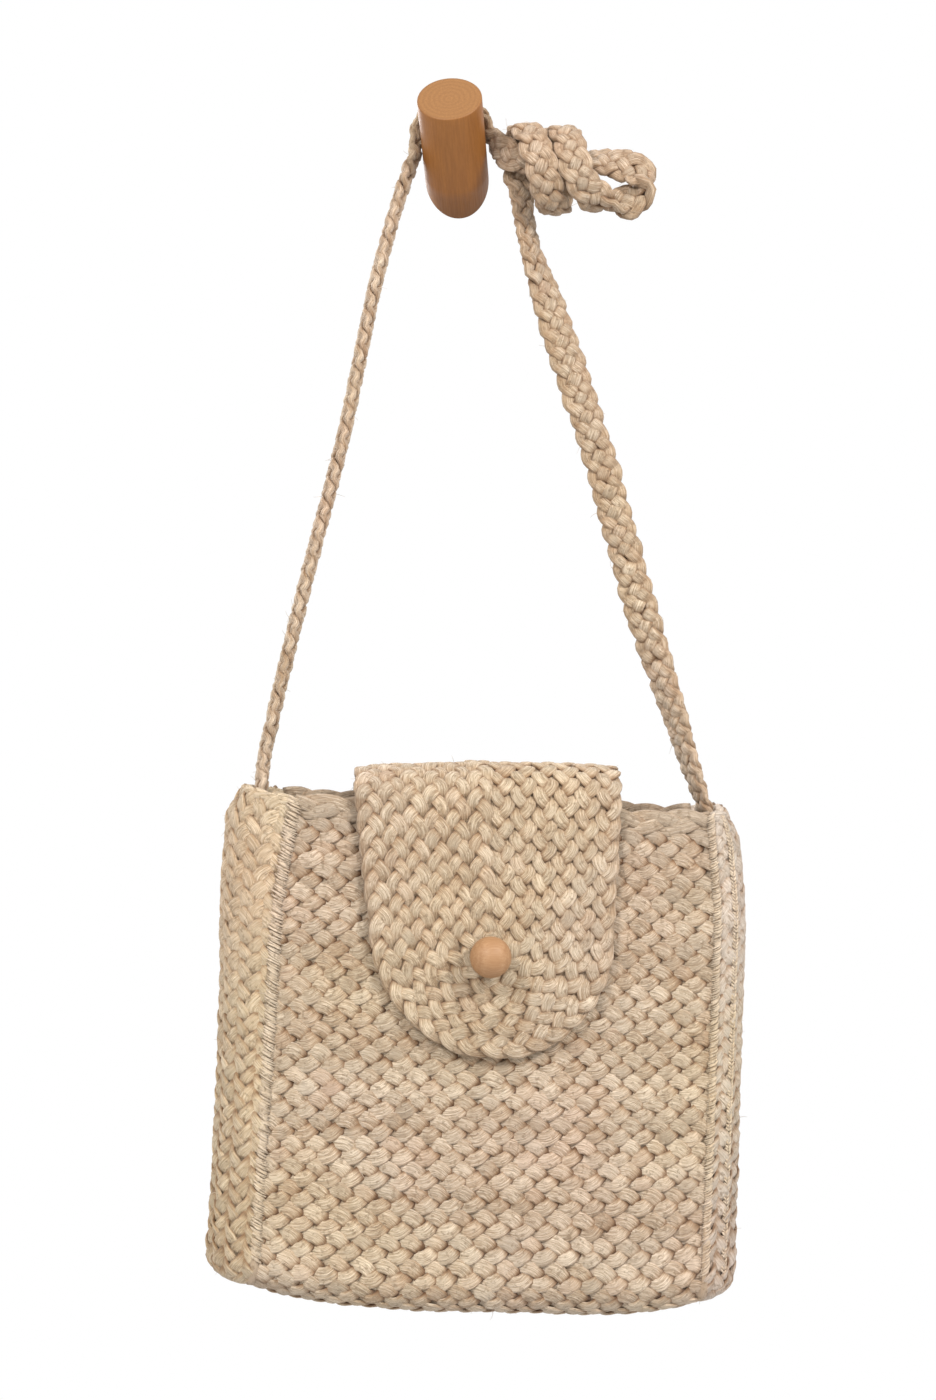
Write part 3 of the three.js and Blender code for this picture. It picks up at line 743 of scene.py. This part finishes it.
# "inside" is a stitch's reach onto the panel, "around" and "reach" are shares of the way round a gusset
OVERCAST = {
    "left": {"spacing": 0.8, "inside": 3, "around": 0.04, "slant": 3, "radius": 0.45},
    "right": {"spacing": 1, "inside": 2.4, "around": 0.03, "slant": 2.6, "radius": 0.45},
}
OVERCAST_LEAN = 0.35
OVERCAST_ARCH = 1.45
OVERCAST_UNEVEN = (0.7, 1.2)
OVERCAST_SLANT_UNEVEN = (0.7, 1.3)
HERRINGBONE = {"spacing": 1.7, "reach": 0.03, "slant": 2.2, "radius": 0.55}
HERRINGBONE_ARCH = 0.5
HERRINGBONE_UNEVEN = (0.85, 1.15)
HERRINGBONE_SUNK = 0.4
STITCH_SUNK = 0.2
STITCH_UNEVEN = 0.12
STITCH_BELOW_RIM = 2
STITCH_POINTS = 7
STITCH_SIDES = 6
STITCH_TIP = 0.6
STITCH_LIGHT = (0.1, 1.6)
STITCH_TINT = 0.6
STITCH_TINT_SPREAD = 0.12
STITCH_DEPTH = 0.85

SEAM_CORD = {"below_rim": 1, "above_bottom": 3, "sunk": 0.9, "thick": 1.5, "flat": 1.3}
SEAM_CORD_STEPS = 160
SEAM_CORD_UNEVEN = 0.2
SEAM_CORD_SPACING = 4
SEAM_CORD_TONE = {"light": 0.5, "tint": 0.7, "depth": 0.7}


def stitch(tubes, start, end, normal, radius, arch, rng):
    share = np.linspace(0, 1, STITCH_POINTS)
    bow = np.sin(math.pi * share)
    centre = lerp(start, end, share[:, None]) + normal * (arch * bow)[:, None]
    thick = radius * lerp(STITCH_TIP, 1, bow)
    light = rng.uniform(*STITCH_LIGHT)
    tint = clamp(rng.normal(STITCH_TINT, STITCH_TINT_SPREAD), 0, 1)
    along = share * np.linalg.norm(end - start)
    normals = np.broadcast_to(normal, centre.shape)
    tone = plain_tone(light, tint, STITCH_DEPTH)
    sweep(tubes, centre, normals, thick, thick, along, tone, rng, STITCH_SIDES, ROUND_SECTION)


def stitch_heights(spacing, rng):
    for z in np.arange(BOTTOM_ROUND, BAG_HEIGHT - STITCH_BELOW_RIM, spacing):
        yield z + rng.normal(0, spacing * STITCH_UNEVEN)


def front_of_panel(x_inside, z, out):
    """Point on the front at a distance in from a side seam, negative for the left one."""
    across = math.copysign(1 - abs(x_inside) / seam_half(z), x_inside)
    return panel_point(BAG_HEIGHT - z, across, PLAIT_THICK / 2 + out)


def side_of_gusset(form, u, z, out):
    rim = BAG_HEIGHT + BACK_RISE * u
    return gusset_point(form, u, clamp((rim - z) / rim, 0, 1), PLAIT_THICK / 2 + out)


def seam_cord(tubes, form, rng):
    """The gathered edge that fills the groove between the front and a gusset."""
    z = np.linspace(BAG_HEIGHT - SEAM_CORD["below_rim"], SEAM_CORD["above_bottom"], SEAM_CORD_STEPS)
    x = form["side"] * (seam_half(z) + GAP / 2)
    centre = np.stack([x, -half_depth(z, SEAM_CORD["sunk"]), z - sink(form["side"], z)], axis=-1)
    normal = np.broadcast_to(np.array([0.0, -1.0, 0.0]), centre.shape)
    thick = SEAM_CORD["thick"] + SEAM_CORD_UNEVEN * wander(rng, z, SEAM_CORD_SPACING)
    wide = SEAM_CORD["flat"] * thick
    sweep(tubes, centre + BAG_ORIGIN, normal, wide, thick, z, plain_tone(**SEAM_CORD_TONE), rng)


def overcast(tubes, form, thread, rng):
    """Slanting stitches over a side seam, from the front onto the gusset's first plait."""
    normal = unit(np.array([form["side"] * OVERCAST_LEAN, -1.0, 0.0]))
    for z in stitch_heights(thread["spacing"], rng):
        inside = form["side"] * thread["inside"] * rng.uniform(*OVERCAST_UNEVEN)
        around = thread["around"] * rng.uniform(*OVERCAST_UNEVEN)
        end_z = z + thread["slant"] * rng.uniform(*OVERCAST_SLANT_UNEVEN)
        radius = thread["radius"] * rng.uniform(*OVERCAST_UNEVEN)
        start = front_of_panel(inside, z, -STITCH_SUNK)
        end = side_of_gusset(form, around, end_z, -STITCH_SUNK)
        stitch(tubes, start, end, normal, radius, OVERCAST_ARCH, rng)


def herringbone(tubes, form, u, thread, rng):
    """Two rows of short stitches that meet in points along a groove between two plaits of a gusset."""
    normal = unit(np.array([form["side"] * math.sin(math.pi * u), -math.cos(math.pi * u), 0.0]))
    for z in stitch_heights(thread["spacing"], rng):
        middle = side_of_gusset(form, u, z, -HERRINGBONE_SUNK)
        for side in (-1, 1):
            end = side_of_gusset(form, u + side * thread["reach"], z + thread["slant"], -STITCH_SUNK)
            radius = thread["radius"] * rng.uniform(*HERRINGBONE_UNEVEN)
            stitch(tubes, middle, end, normal, radius, HERRINGBONE_ARCH, rng)


# Columns: piece that the fibres stand out of, how many, and the length of the longest
LOOSE_FIBRES = [
    ("front_plaits", 260, 6),
    ("back_plaits", 160, 3),
    ("flap_plaits", 240, 6),
    ("gusset_left_plaits", 220, 5),
    ("gusset_right_plaits", 160, 5),
    ("strap_braid", 260, 6),
    ("seam_stitches", 600, 4),
]
FIBRE_POINTS = 6
FIBRE_SIDES = 3
FIBRE_RADIUS = 0.13
FIBRE_TAPER = 0.6
FIBRE_LENGTHS = (0.3, 1)
FIBRE_LENGTH_POWER = 1.6
FIBRE_RISE = (0.15, 0.7)
FIBRE_SCATTER = 0.6
FIBRE_CURL = (0.2, 0.9)
FIBRE_FROM_DEPTH = 0.6
FIBRE_LIGHT = (0.3, 1)
FIBRE_TINT = 0.55
FIBRE_DEPTH = 0.9


def loose_fibres(tubes, source, count, longest, rng):
    """Short curled hairs that stand out of the strands of another set of tubes."""
    points = np.concatenate(source.points)
    outward = np.concatenate(source.outward)
    depth = np.concatenate(source.tone)[:, 2]
    chosen = rng.choice(np.flatnonzero(depth > FIBRE_FROM_DEPTH), count, replace=False)
    share = np.linspace(0, 1, FIBRE_POINTS)
    thick = FIBRE_RADIUS * (1 - FIBRE_TAPER * share)
    for vertex in chosen:
        length = longest * rng.uniform(*FIBRE_LENGTHS) ** FIBRE_LENGTH_POWER
        heading = unit(outward[vertex] * rng.uniform(*FIBRE_RISE) + rng.normal(0, FIBRE_SCATTER, 3))
        curl = np.cross(heading, rng.normal(0, 1, 3)) * rng.uniform(*FIBRE_CURL)
        centre = points[vertex] + length * (np.outer(share, heading) + np.outer(share**2, curl) / 2)
        tone = plain_tone(rng.uniform(*FIBRE_LIGHT), FIBRE_TINT, FIBRE_DEPTH)
        normals = np.broadcast_to(np.cross(heading, curl), centre.shape)
        sweep(tubes, centre, normals, thick, thick, share * length, tone, rng, FIBRE_SIDES, ROUND_SECTION)


# Wood: rings turned about an axis, with the place inside the wood kept for its grain

PEG_SIDES = 96
PEG_SHAFT_RINGS = 12
PEG_EDGE_RINGS = 4
PEG_FACE_RINGS = np.array([0.85, 0.6, 0.35, 0.12])
BEAD_SIDES = 64
BEAD_RINGS = 33
BEAD_POLE_ANGLE = math.pi / 2 - 0.03


def turned(tubes, middle, right, above, ahead, radii, along, unshaded, sides, cut=None):
    """Rings of given radii along an axis. Each ring has a share that is 1 where the wood shows its own
    colour and 0 where it is painted darker and redder as shade.
    """
    angle = 2 * math.pi * np.arange(sides) / sides
    spoke = np.cos(angle)[:, None] * right + np.sin(angle)[:, None] * above
    rings = middle + radii[:, None, None] * spoke + along[:, None, None] * ahead
    if cut is not None:
        rings[0] = cut(rings[0])
    run = np.broadcast_to(along[:, None], (len(radii), sides))
    grain = np.stack([radii[:, None] * np.cos(angle), run, radii[:, None] * np.sin(angle)], axis=-1)
    outward = np.broadcast_to(spoke, rings.shape)
    tubes.add(rings, outward, grain, np.broadcast_to(unshaded[:, None, None], rings.shape))


def wall_peg(tubes):
    right = PEG_RIGHT @ WALL_BASIS
    above = PEG_ABOVE @ WALL_BASIS
    ahead = PEG_ALONG @ WALL_BASIS
    shaft = np.linspace(0, PEG_LENGTH - PEG_EDGE, PEG_SHAFT_RINGS)
    bevel = np.linspace(0, math.pi / 2, PEG_EDGE_RINGS + 1)[1:]
    edge_radii = PEG_RADIUS - PEG_EDGE * (1 - np.cos(bevel))
    edge_along = PEG_LENGTH - PEG_EDGE * (1 - np.sin(bevel))
    # The shaft is painted darker as shade; the rounded edge turns from that to the end face's own colour
    edge_unshaded = np.linspace(1 / PEG_EDGE_RINGS, 1, PEG_EDGE_RINGS)
    face = np.ones(len(PEG_FACE_RINGS))
    radii = np.concatenate([np.full(PEG_SHAFT_RINGS, PEG_RADIUS), edge_radii, PEG_RADIUS * PEG_FACE_RINGS])
    along = np.concatenate([shaft, edge_along, PEG_LENGTH * face])
    unshaded = np.concatenate([np.zeros(PEG_SHAFT_RINGS), edge_unshaded, face])

    def cut_at_wall(ring):
        return ring - np.outer(ring @ INTO_WALL / (ahead @ INTO_WALL), ahead)

    turned(tubes, np.zeros(3), right, above, ahead, radii, along, unshaded, PEG_SIDES, cut_at_wall)


BUTTON_FRONT_Y = -HALF_DEPTH - swell(BUTTON_X / seam_half(BUTTON_Z), BUTTON_Z)
BEAD_Y = BUTTON_FRONT_Y - FLAP_CLEAR - FLAP_THICK - GAP - BEAD_RADIUS


def bead(tubes):
    middle = np.array([BUTTON_X, BEAD_Y, BUTTON_Z]) + BAG_ORIGIN
    angle = np.linspace(-BEAD_POLE_ANGLE, BEAD_POLE_ANGLE, BEAD_RINGS)
    ahead, right, above = np.eye(3)
    radii = BEAD_RADIUS * np.cos(angle)
    along = BEAD_RADIUS * np.sin(angle)
    turned(tubes, middle, right, above, ahead, radii, along, np.ones(BEAD_RINGS), BEAD_SIDES)


CORD_STRANDS = 2
CORD_STEPS = 16
CORD_TONE = {"light": 0.5, "tint": 0.6, "depth": 0.8}


def button_cord(tubes, rng):
    """Twisted threads from the bead back to the front of the bag."""
    length = BUTTON_FRONT_Y - BEAD_Y - BEAD_RADIUS - 2 * GAP
    start = np.array([BUTTON_X, BEAD_Y + BEAD_RADIUS + GAP, BUTTON_Z]) + BAG_ORIGIN
    along = np.linspace(0, length, CORD_STEPS)
    thick = np.full(CORD_STEPS, CORD_RADIUS - CORD_TWIST_RADIUS)
    for strand in range(CORD_STRANDS):
        angle = 2 * math.pi * (along / CORD_TWIST_LENGTH + strand / CORD_STRANDS)
        normal = np.stack([np.cos(angle), 0 * along, np.sin(angle)], axis=-1)
        centre = start + CORD_TWIST_RADIUS * normal + np.outer(along, [0, 1, 0])
        sweep(tubes, centre, normal, thick, thick, along, plain_tone(**CORD_TONE), rng)


# Materials

BLACK = (0, 0, 0)
WHITE = (1, 1, 1)


class Nodes:
    """Adds nodes to a material, with values or other nodes' outputs given as inputs."""

    def __init__(self, name):
        self.material = bpy.data.materials.new(name)
        self.material.use_nodes = True
        self.tree = self.material.node_tree
        self.shader = self.tree.nodes["Principled BSDF"]

    def set(self, node, inputs):
        for name, value in inputs.items():
            socket = node.inputs[name]
            if isinstance(value, bpy.types.NodeSocket):
                self.tree.links.new(value, socket)
            else:
                socket.default_value = value

    def add(self, kind, inputs=None, **settings):
        node = self.tree.nodes.new(kind)
        for name, value in settings.items():
            setattr(node, name, value)
        self.set(node, inputs or {})
        return node

    def math(self, operation, first, second):
        return self.add("ShaderNodeMath", {0: first, 1: second}, operation=operation).outputs[0]

    def weighted(self, values, weights):
        """Sum of named values, each times its weight."""
        first, *others = [self.math("MULTIPLY", value, weights[name]) for name, value in values.items()]
        for other in others:
            first = self.math("ADD", first, other)
        return first

    def blend(self, share, first, second, blend_type="MIX"):
        node = self.add("ShaderNodeMix", data_type="RGBA", blend_type=blend_type)
        self.set(node, {0: share, 6: first, 7: second})
        return node.outputs[2]

    def times(self, first, second):
        return self.blend(1.0, first, second, "MULTIPLY")

    def stain(self, base, value, stain_colour, full, none, strength):
        """Mixes a colour into another, most where the value is at full and not at all where it is at none."""
        share = self.ramp(value, sorted([(full, WHITE), (none, BLACK)]))
        return self.blend(self.math("MULTIPLY", share, strength), base, (*stain_colour, 1))

    def ramp(self, share, stops):
        node = self.add("ShaderNodeValToRGB", {0: share})
        elements = node.color_ramp.elements
        while len(elements) < len(stops):
            elements.new(0.5)
        for element, (place, stop_colour) in zip(elements, stops):
            element.position = place
            element.color = (*stop_colour, 1)
        return node.outputs[0]

    def noise(self, vector, scale, detail, roughness=0.55):
        inputs = {"Vector": vector, "Scale": scale, "Detail": detail, "Roughness": roughness}
        return self.add("ShaderNodeTexNoise", inputs).outputs["Fac"]

    def attribute(self, name, output):
        return self.add("ShaderNodeAttribute", attribute_name=name).outputs[output]

    def tone(self):
        return self.add("ShaderNodeSeparateColor", {0: self.attribute("tone", "Color")}).outputs

    def place(self):
        return self.add("ShaderNodeTexCoord").outputs["Object"]

    def stretched(self, vector, scale):
        return self.add("ShaderNodeMapping", {"Vector": vector, "Scale": scale}).outputs[0]

    def streaks(self, vector, stretch, detail, roughness):
        return self.noise(self.stretched(vector, stretch), 1.0, detail, roughness)


def colour(red, green, blue):
    """Linear colour from one seen on a screen, 0 to 255."""
    return tuple(((c / 255 + 0.055) / 1.055) ** 2.4 for c in (red, green, blue))


# Columns: colours seen on a screen of dark, middle and pale fibres, and of warmer and greyer leaves
JUTE_LOOKS = {
    "jute": [(110, 88, 65), (166, 144, 119), (227, 209, 186), (176, 144, 121), (160, 144, 125)],
    # Painted light: "jute_side" and "jute_right" are paler copies of "jute" for the gussets, which get less
    # light than the front; "jute_right" is greyer too
    "jute_side": [(124, 101, 73), (180, 156, 124), (232, 214, 185), (187, 157, 124), (174, 157, 131)],
    "jute_right": [(129, 111, 91), (182, 164, 145), (230, 217, 203), (188, 165, 146), (178, 165, 150)],
    "jute_thread": [(160, 139, 112), (200, 179, 152), (228, 211, 188), (204, 178, 150), (192, 177, 156)],
}
# Columns: colours seen on a screen of dark, middle and pale wood
WOOD_LOOKS = {
    "bead_wood": [(138, 99, 65), (152, 114, 79), (167, 130, 95)],
    "peg_wood": [(117, 77, 40), (130, 89, 48), (144, 101, 57)],
}
WOOD_ROUGHNESS = {"bead_wood": 0.52, "peg_wood": 0.5}


# Jute. Streaks and fine fibres are stretched along a strand. The other scales are for places in metres
STREAK = {"stretch": (0.06, 1.3, 1.3), "detail": 4.0, "roughness": 0.7}
FINE = {"stretch": (0.3, 4.2, 4.2), "detail": 3.0, "roughness": 0.65}
PATCH_SCALE = 22.0
BLOTCH_SCALE = 9.0
SPECK_SCALE = 420.0
PLACE_DETAIL = 2.0
JUTE_WEIGHTS = {"light": 0.2, "streak": 0.8, "fine": 1.15, "patch": 0.16}
JUTE_LEVEL = 0.605
JUTE_STOPS = (0.12, 0.43, 0.75)
BLUSH_STOPS = [(0.36, (1, 0.985, 0.92)), (0.5, WHITE), (0.64, (1, 0.955, 0.96))]
WARM_LEAVES = {"full": 0.15, "none": 0.45, "strength": 0.55}
GREY_LEAVES = {"full": 0.95, "none": 0.62, "strength": 0.6}
GREY_PATCHES = 0.3
# Painted shade: ochre where a strand lies low in the wall, and dark brown in the crevices between strands
LOW_PART_SHADE = {"full": 0.45, "none": 0.95, "strength": 0.55}
LOW_SHADE_COLOUR = colour(170, 122, 70)
CREVICE_SHADE = {"full": 0.28, "none": 0.8, "strength": 0.9}
CREVICE_SHADE_COLOUR = colour(84, 52, 25)
# Painted shadows: small dark specks that stand for the shadows of loose fibres
SPECK_SHADOWS = {"full": 0.33, "none": 0.42, "strength": 0.45}
SPECK_SHADOW_COLOUR = colour(112, 88, 60)
BUMP_WEIGHTS = {"streak": 0.6, "fine": 0.4}
FIBRE_BUMP = 0.0017
JUTE_ROUGHNESS = [(0.2, (0.92, 0.92, 0.92)), (0.8, (0.66, 0.66, 0.66))]


def jute_base(nodes, name, streak, fine):
    """The colour of the fibres: streaks, warmer and greyer leaves and blotches, with painted shade:
    ochre on low parts, dark brown crevices, and dark specks that stand for the shadows of loose fibres.
    """
    *shades, warm, grey = [colour(*seen) for seen in JUTE_LOOKS[name]]
    light, tint, depth = nodes.tone()
    place = nodes.place()
    patch = nodes.noise(place, PATCH_SCALE, PLACE_DETAIL)
    blotch = nodes.noise(place, BLOTCH_SCALE, PLACE_DETAIL)
    speck = nodes.noise(place, SPECK_SCALE, PLACE_DETAIL)
    parts = {"light": light, "streak": streak, "fine": fine, "patch": patch}
    level = nodes.math("SUBTRACT", nodes.weighted(parts, JUTE_WEIGHTS), JUTE_LEVEL)
    base = nodes.ramp(level, list(zip(JUTE_STOPS, shades)))
    base = nodes.stain(base, tint, warm, **WARM_LEAVES)
    patchy_tint = nodes.math("ADD", tint, nodes.math("MULTIPLY", patch, GREY_PATCHES))
    base = nodes.stain(base, patchy_tint, grey, **GREY_LEAVES)
    base = nodes.times(base, nodes.ramp(blotch, BLUSH_STOPS))
    base = nodes.stain(base, depth, LOW_SHADE_COLOUR, **LOW_PART_SHADE)
    base = nodes.stain(base, depth, CREVICE_SHADE_COLOUR, **CREVICE_SHADE)
    return nodes.stain(base, speck, SPECK_SHADOW_COLOUR, **SPECK_SHADOWS)


def jute(name):
    nodes = Nodes(name)
    grain = nodes.attribute("grain", "Vector")
    streak = nodes.streaks(grain, **STREAK)
    fine = nodes.streaks(grain, **FINE)
    height = nodes.weighted({"streak": streak, "fine": fine}, BUMP_WEIGHTS)
    bump = nodes.add("ShaderNodeBump", {"Strength": 1.0, "Distance": FIBRE_BUMP, "Height": height})
    nodes.set(nodes.shader, {
        "Base Color": jute_base(nodes, name, streak, fine),
        "Roughness": nodes.ramp(streak, JUTE_ROUGHNESS),
        "Normal": bump.outputs[0],
        "Specular IOR Level": 0.3,
        "Sheen Weight": 0.12,
        "Sheen Roughness": 0.5,
    })
    return nodes.material


# Wood. Its grain runs along the second axis, and painted shade makes the peg's shaft darker and redder than
# its end
RINGS = {"Scale": 1.1, "Distortion": 3.0, "Detail": 2.0, "Detail Scale": 1.2}
RING_STRETCH = (0.11, 0.012, 0.11)
WOOD_STREAK = {"stretch": (1.1, 0.06, 1.1), "detail": 4.0, "roughness": 0.6}
PORES = {"stretch": (4.0, 0.3, 4.0), "detail": 2.0, "roughness": 0.55}
WOOD_WEIGHTS = {"rings": 0.12, "streak": 0.75, "pores": 0.2}
WOOD_STOPS = (0.25, 0.53, 0.82)
# Painted shade: the colour that the peg's shaft is multiplied by
SHAFT_SHADE = (1, 0.82, 0.47, 1)
# Columns: value of the pores, how much rougher the wood is there
PORE_ROUGHNESS = [(0.3, 0.12), (0.7, -0.06)]
WOOD_BUMP = 0.0002


def wood(name):
    shades = [colour(*seen) for seen in WOOD_LOOKS[name]]
    nodes = Nodes(name)
    grain = nodes.attribute("grain", "Vector")
    rings = nodes.add(
        "ShaderNodeTexWave",
        {"Vector": nodes.stretched(grain, RING_STRETCH), **RINGS},
        wave_type="RINGS",
        rings_direction="Y",
    ).outputs["Fac"]
    streak = nodes.streaks(grain, **WOOD_STREAK)
    pores = nodes.streaks(grain, **PORES)
    level = nodes.weighted({"rings": rings, "streak": streak, "pores": pores}, WOOD_WEIGHTS)
    base = nodes.ramp(level, list(zip(WOOD_STOPS, shades)))
    # Painted shade: where this share is 0, on the peg's shaft, the wood is darker and redder
    unshaded = nodes.tone()[0]
    roughness = [(stop, (WOOD_ROUGHNESS[name] + more,) * 3) for stop, more in PORE_ROUGHNESS]
    bump = nodes.add("ShaderNodeBump", {"Strength": 0.2, "Distance": WOOD_BUMP, "Height": streak})
    nodes.set(nodes.shader, {
        "Base Color": nodes.blend(unshaded, nodes.times(base, SHAFT_SHADE), base),
        "Roughness": nodes.ramp(pores, roughness),
        "Normal": bump.outputs[0],
        "Specular IOR Level": 0.4,
    })
    return nodes.material


# Pieces


def front_plaits(tubes, rng):
    for row in range(FRONT_ROWS):
        panel_row(tubes, row, rng)


def back_plaits(tubes, rng):
    for row in range(FRONT_ROWS, PANEL_ROWS):
        panel_row(tubes, row, rng)


def flap_plaits(tubes, rng):
    for number in range(FLAP_PLAITS):
        flap_plait(tubes, number, rng)


def left_gusset(tubes, rng):
    gusset_plaits(tubes, GUSSETS["left"], rng)


def right_gusset(tubes, rng):
    gusset_plaits(tubes, GUSSETS["right"], rng)


def seam_stitches(tubes, rng):
    for form in GUSSETS.values():
        seam_cord(tubes, form, rng)
    for side, form in GUSSETS.items():
        overcast(tubes, form, OVERCAST[side], rng)
    herringbone(tubes, GUSSETS["right"], 1 / GUSSET_PLAITS, HERRINGBONE, rng)


# Columns: name, random seed, what adds its tubes, look, slot and CAD nodes that it replaces
SEWN_PIECES = [
    ("front_plaits", 101, front_plaits, "jute", "jute", ["body_panel"]),
    ("back_plaits", 102, back_plaits, "jute", "jute", ["body_panel"]),
    ("flap_plaits", 103, flap_plaits, "jute", "jute", ["flap"]),
    ("gusset_left_plaits", 110, left_gusset, "jute_side", "jute_side", ["gusset_left"]),
    ("gusset_right_plaits", 111, right_gusset, "jute_right", "jute_side", ["gusset_right"]),
    ("strap_braid", 120, strap_braid, "jute", "jute", ["strap"]),
    ("seam_stitches", 130, seam_stitches, "jute_thread", "jute_side", []),
]
FIBRE_SEED = 140
CORD_SEED = 150


def build_pieces():
    looks = {name: jute(name) for name in JUTE_LOOKS}
    sewn = {}
    for name, seed, add_tubes, look, slot, nodes in SEWN_PIECES:
        sewn[name] = Tubes()
        add_tubes(sewn[name], np.random.default_rng(seed))
        sewn[name].piece(name, looks[look], slot, nodes)

    fibres = Tubes()
    rng = np.random.default_rng(FIBRE_SEED)
    for name, count, longest in LOOSE_FIBRES:
        loose_fibres(fibres, sewn[name], count, longest, rng)
    fibres.piece("loose_fibres", looks["jute_thread"], "jute")

    ball = Tubes()
    bead(ball)
    ball.piece("button_ball", wood("bead_wood"), "bead_wood", ["button_bead"])
    cord = Tubes()
    button_cord(cord, np.random.default_rng(CORD_SEED))
    cord.piece("button_thread", looks["jute_thread"], "jute", ["button_cord"])
    peg = Tubes()
    wall_peg(peg)
    peg.piece("round_peg", wood("peg_wood"), "peg_wood", ["wall_peg"])


# Stage, in metres

FLOOR_PLACE = (0, 0, -2.6)
FLOOR_GREYS = [(0.3, (0.78, 0.78, 0.78)), (0.7, (0.84, 0.84, 0.84))]
# Columns: name, place, size, watts and colour of a light
LIGHTS = [
    ("right", (0.85, -1.4, 0.8), 0.4, 27, (1, 0.995, 0.97)),
    ("left", (-1.05, -1.35, 0.65), 0.4, 24, (1, 1, 0.98)),
    ("behind", (-0.5, 1.6, 0.5), 1.0, 22, (1, 0.99, 0.98)),
]
LIGHT_TARGET = Vector((0.03, -0.06, -0.4))


def floor():
    nodes = Nodes("pale_floor")
    cloud = nodes.noise(nodes.place(), scale=3.0, detail=3.0)
    nodes.set(nodes.shader, {"Base Color": nodes.ramp(cloud, FLOOR_GREYS), "Roughness": 0.7})
    bpy.ops.mesh.primitive_circle_add(vertices=96, radius=3.4, fill_type="NGON", location=FLOOR_PLACE)
    made = bpy.context.object
    made.name = "floor"
    made.data.materials.append(nodes.material)


def area_light(name, place, size, watts, tint):
    data = bpy.data.lights.new(name, "AREA")
    data.shape = "DISK"
    data.size = size
    data.energy = watts
    data.color = tint
    made = new_object(name, data)
    made.location = place
    made.rotation_euler = (LIGHT_TARGET - Vector(place)).to_track_quat("-Z", "Y").to_euler()


def lights():
    world = bpy.data.worlds.new("studio")
    world.use_nodes = True
    background = world.node_tree.nodes["Background"]
    background.inputs["Color"].default_value = (1, 1, 1, 1)
    background.inputs["Strength"].default_value = 1.0
    bpy.context.scene.world = world
    for row in LIGHTS:
        area_light(*row)
    bpy.context.scene.view_settings.view_transform = "Standard"


def camera():
    data = bpy.data.cameras.new("camera")
    data.sensor_width = SENSOR
    data.lens = FOCAL_PIXELS / IMAGE_HEIGHT_PIXELS * SENSOR
    data.clip_start = 0.05
    data.clip_end = 50
    made = new_object("camera", data)
    axes = Matrix((WALL_RIGHT, WALL_UP, -INTO_WALL)).transposed()
    made.matrix_world = Matrix.Translation(Vector(CAMERA_PLACE * MILLIMETRE)) @ axes.to_4x4()
    bpy.context.scene.camera = made


camera()
lights()
floor()
build_pieces()

bpy.context.view_layer.update()
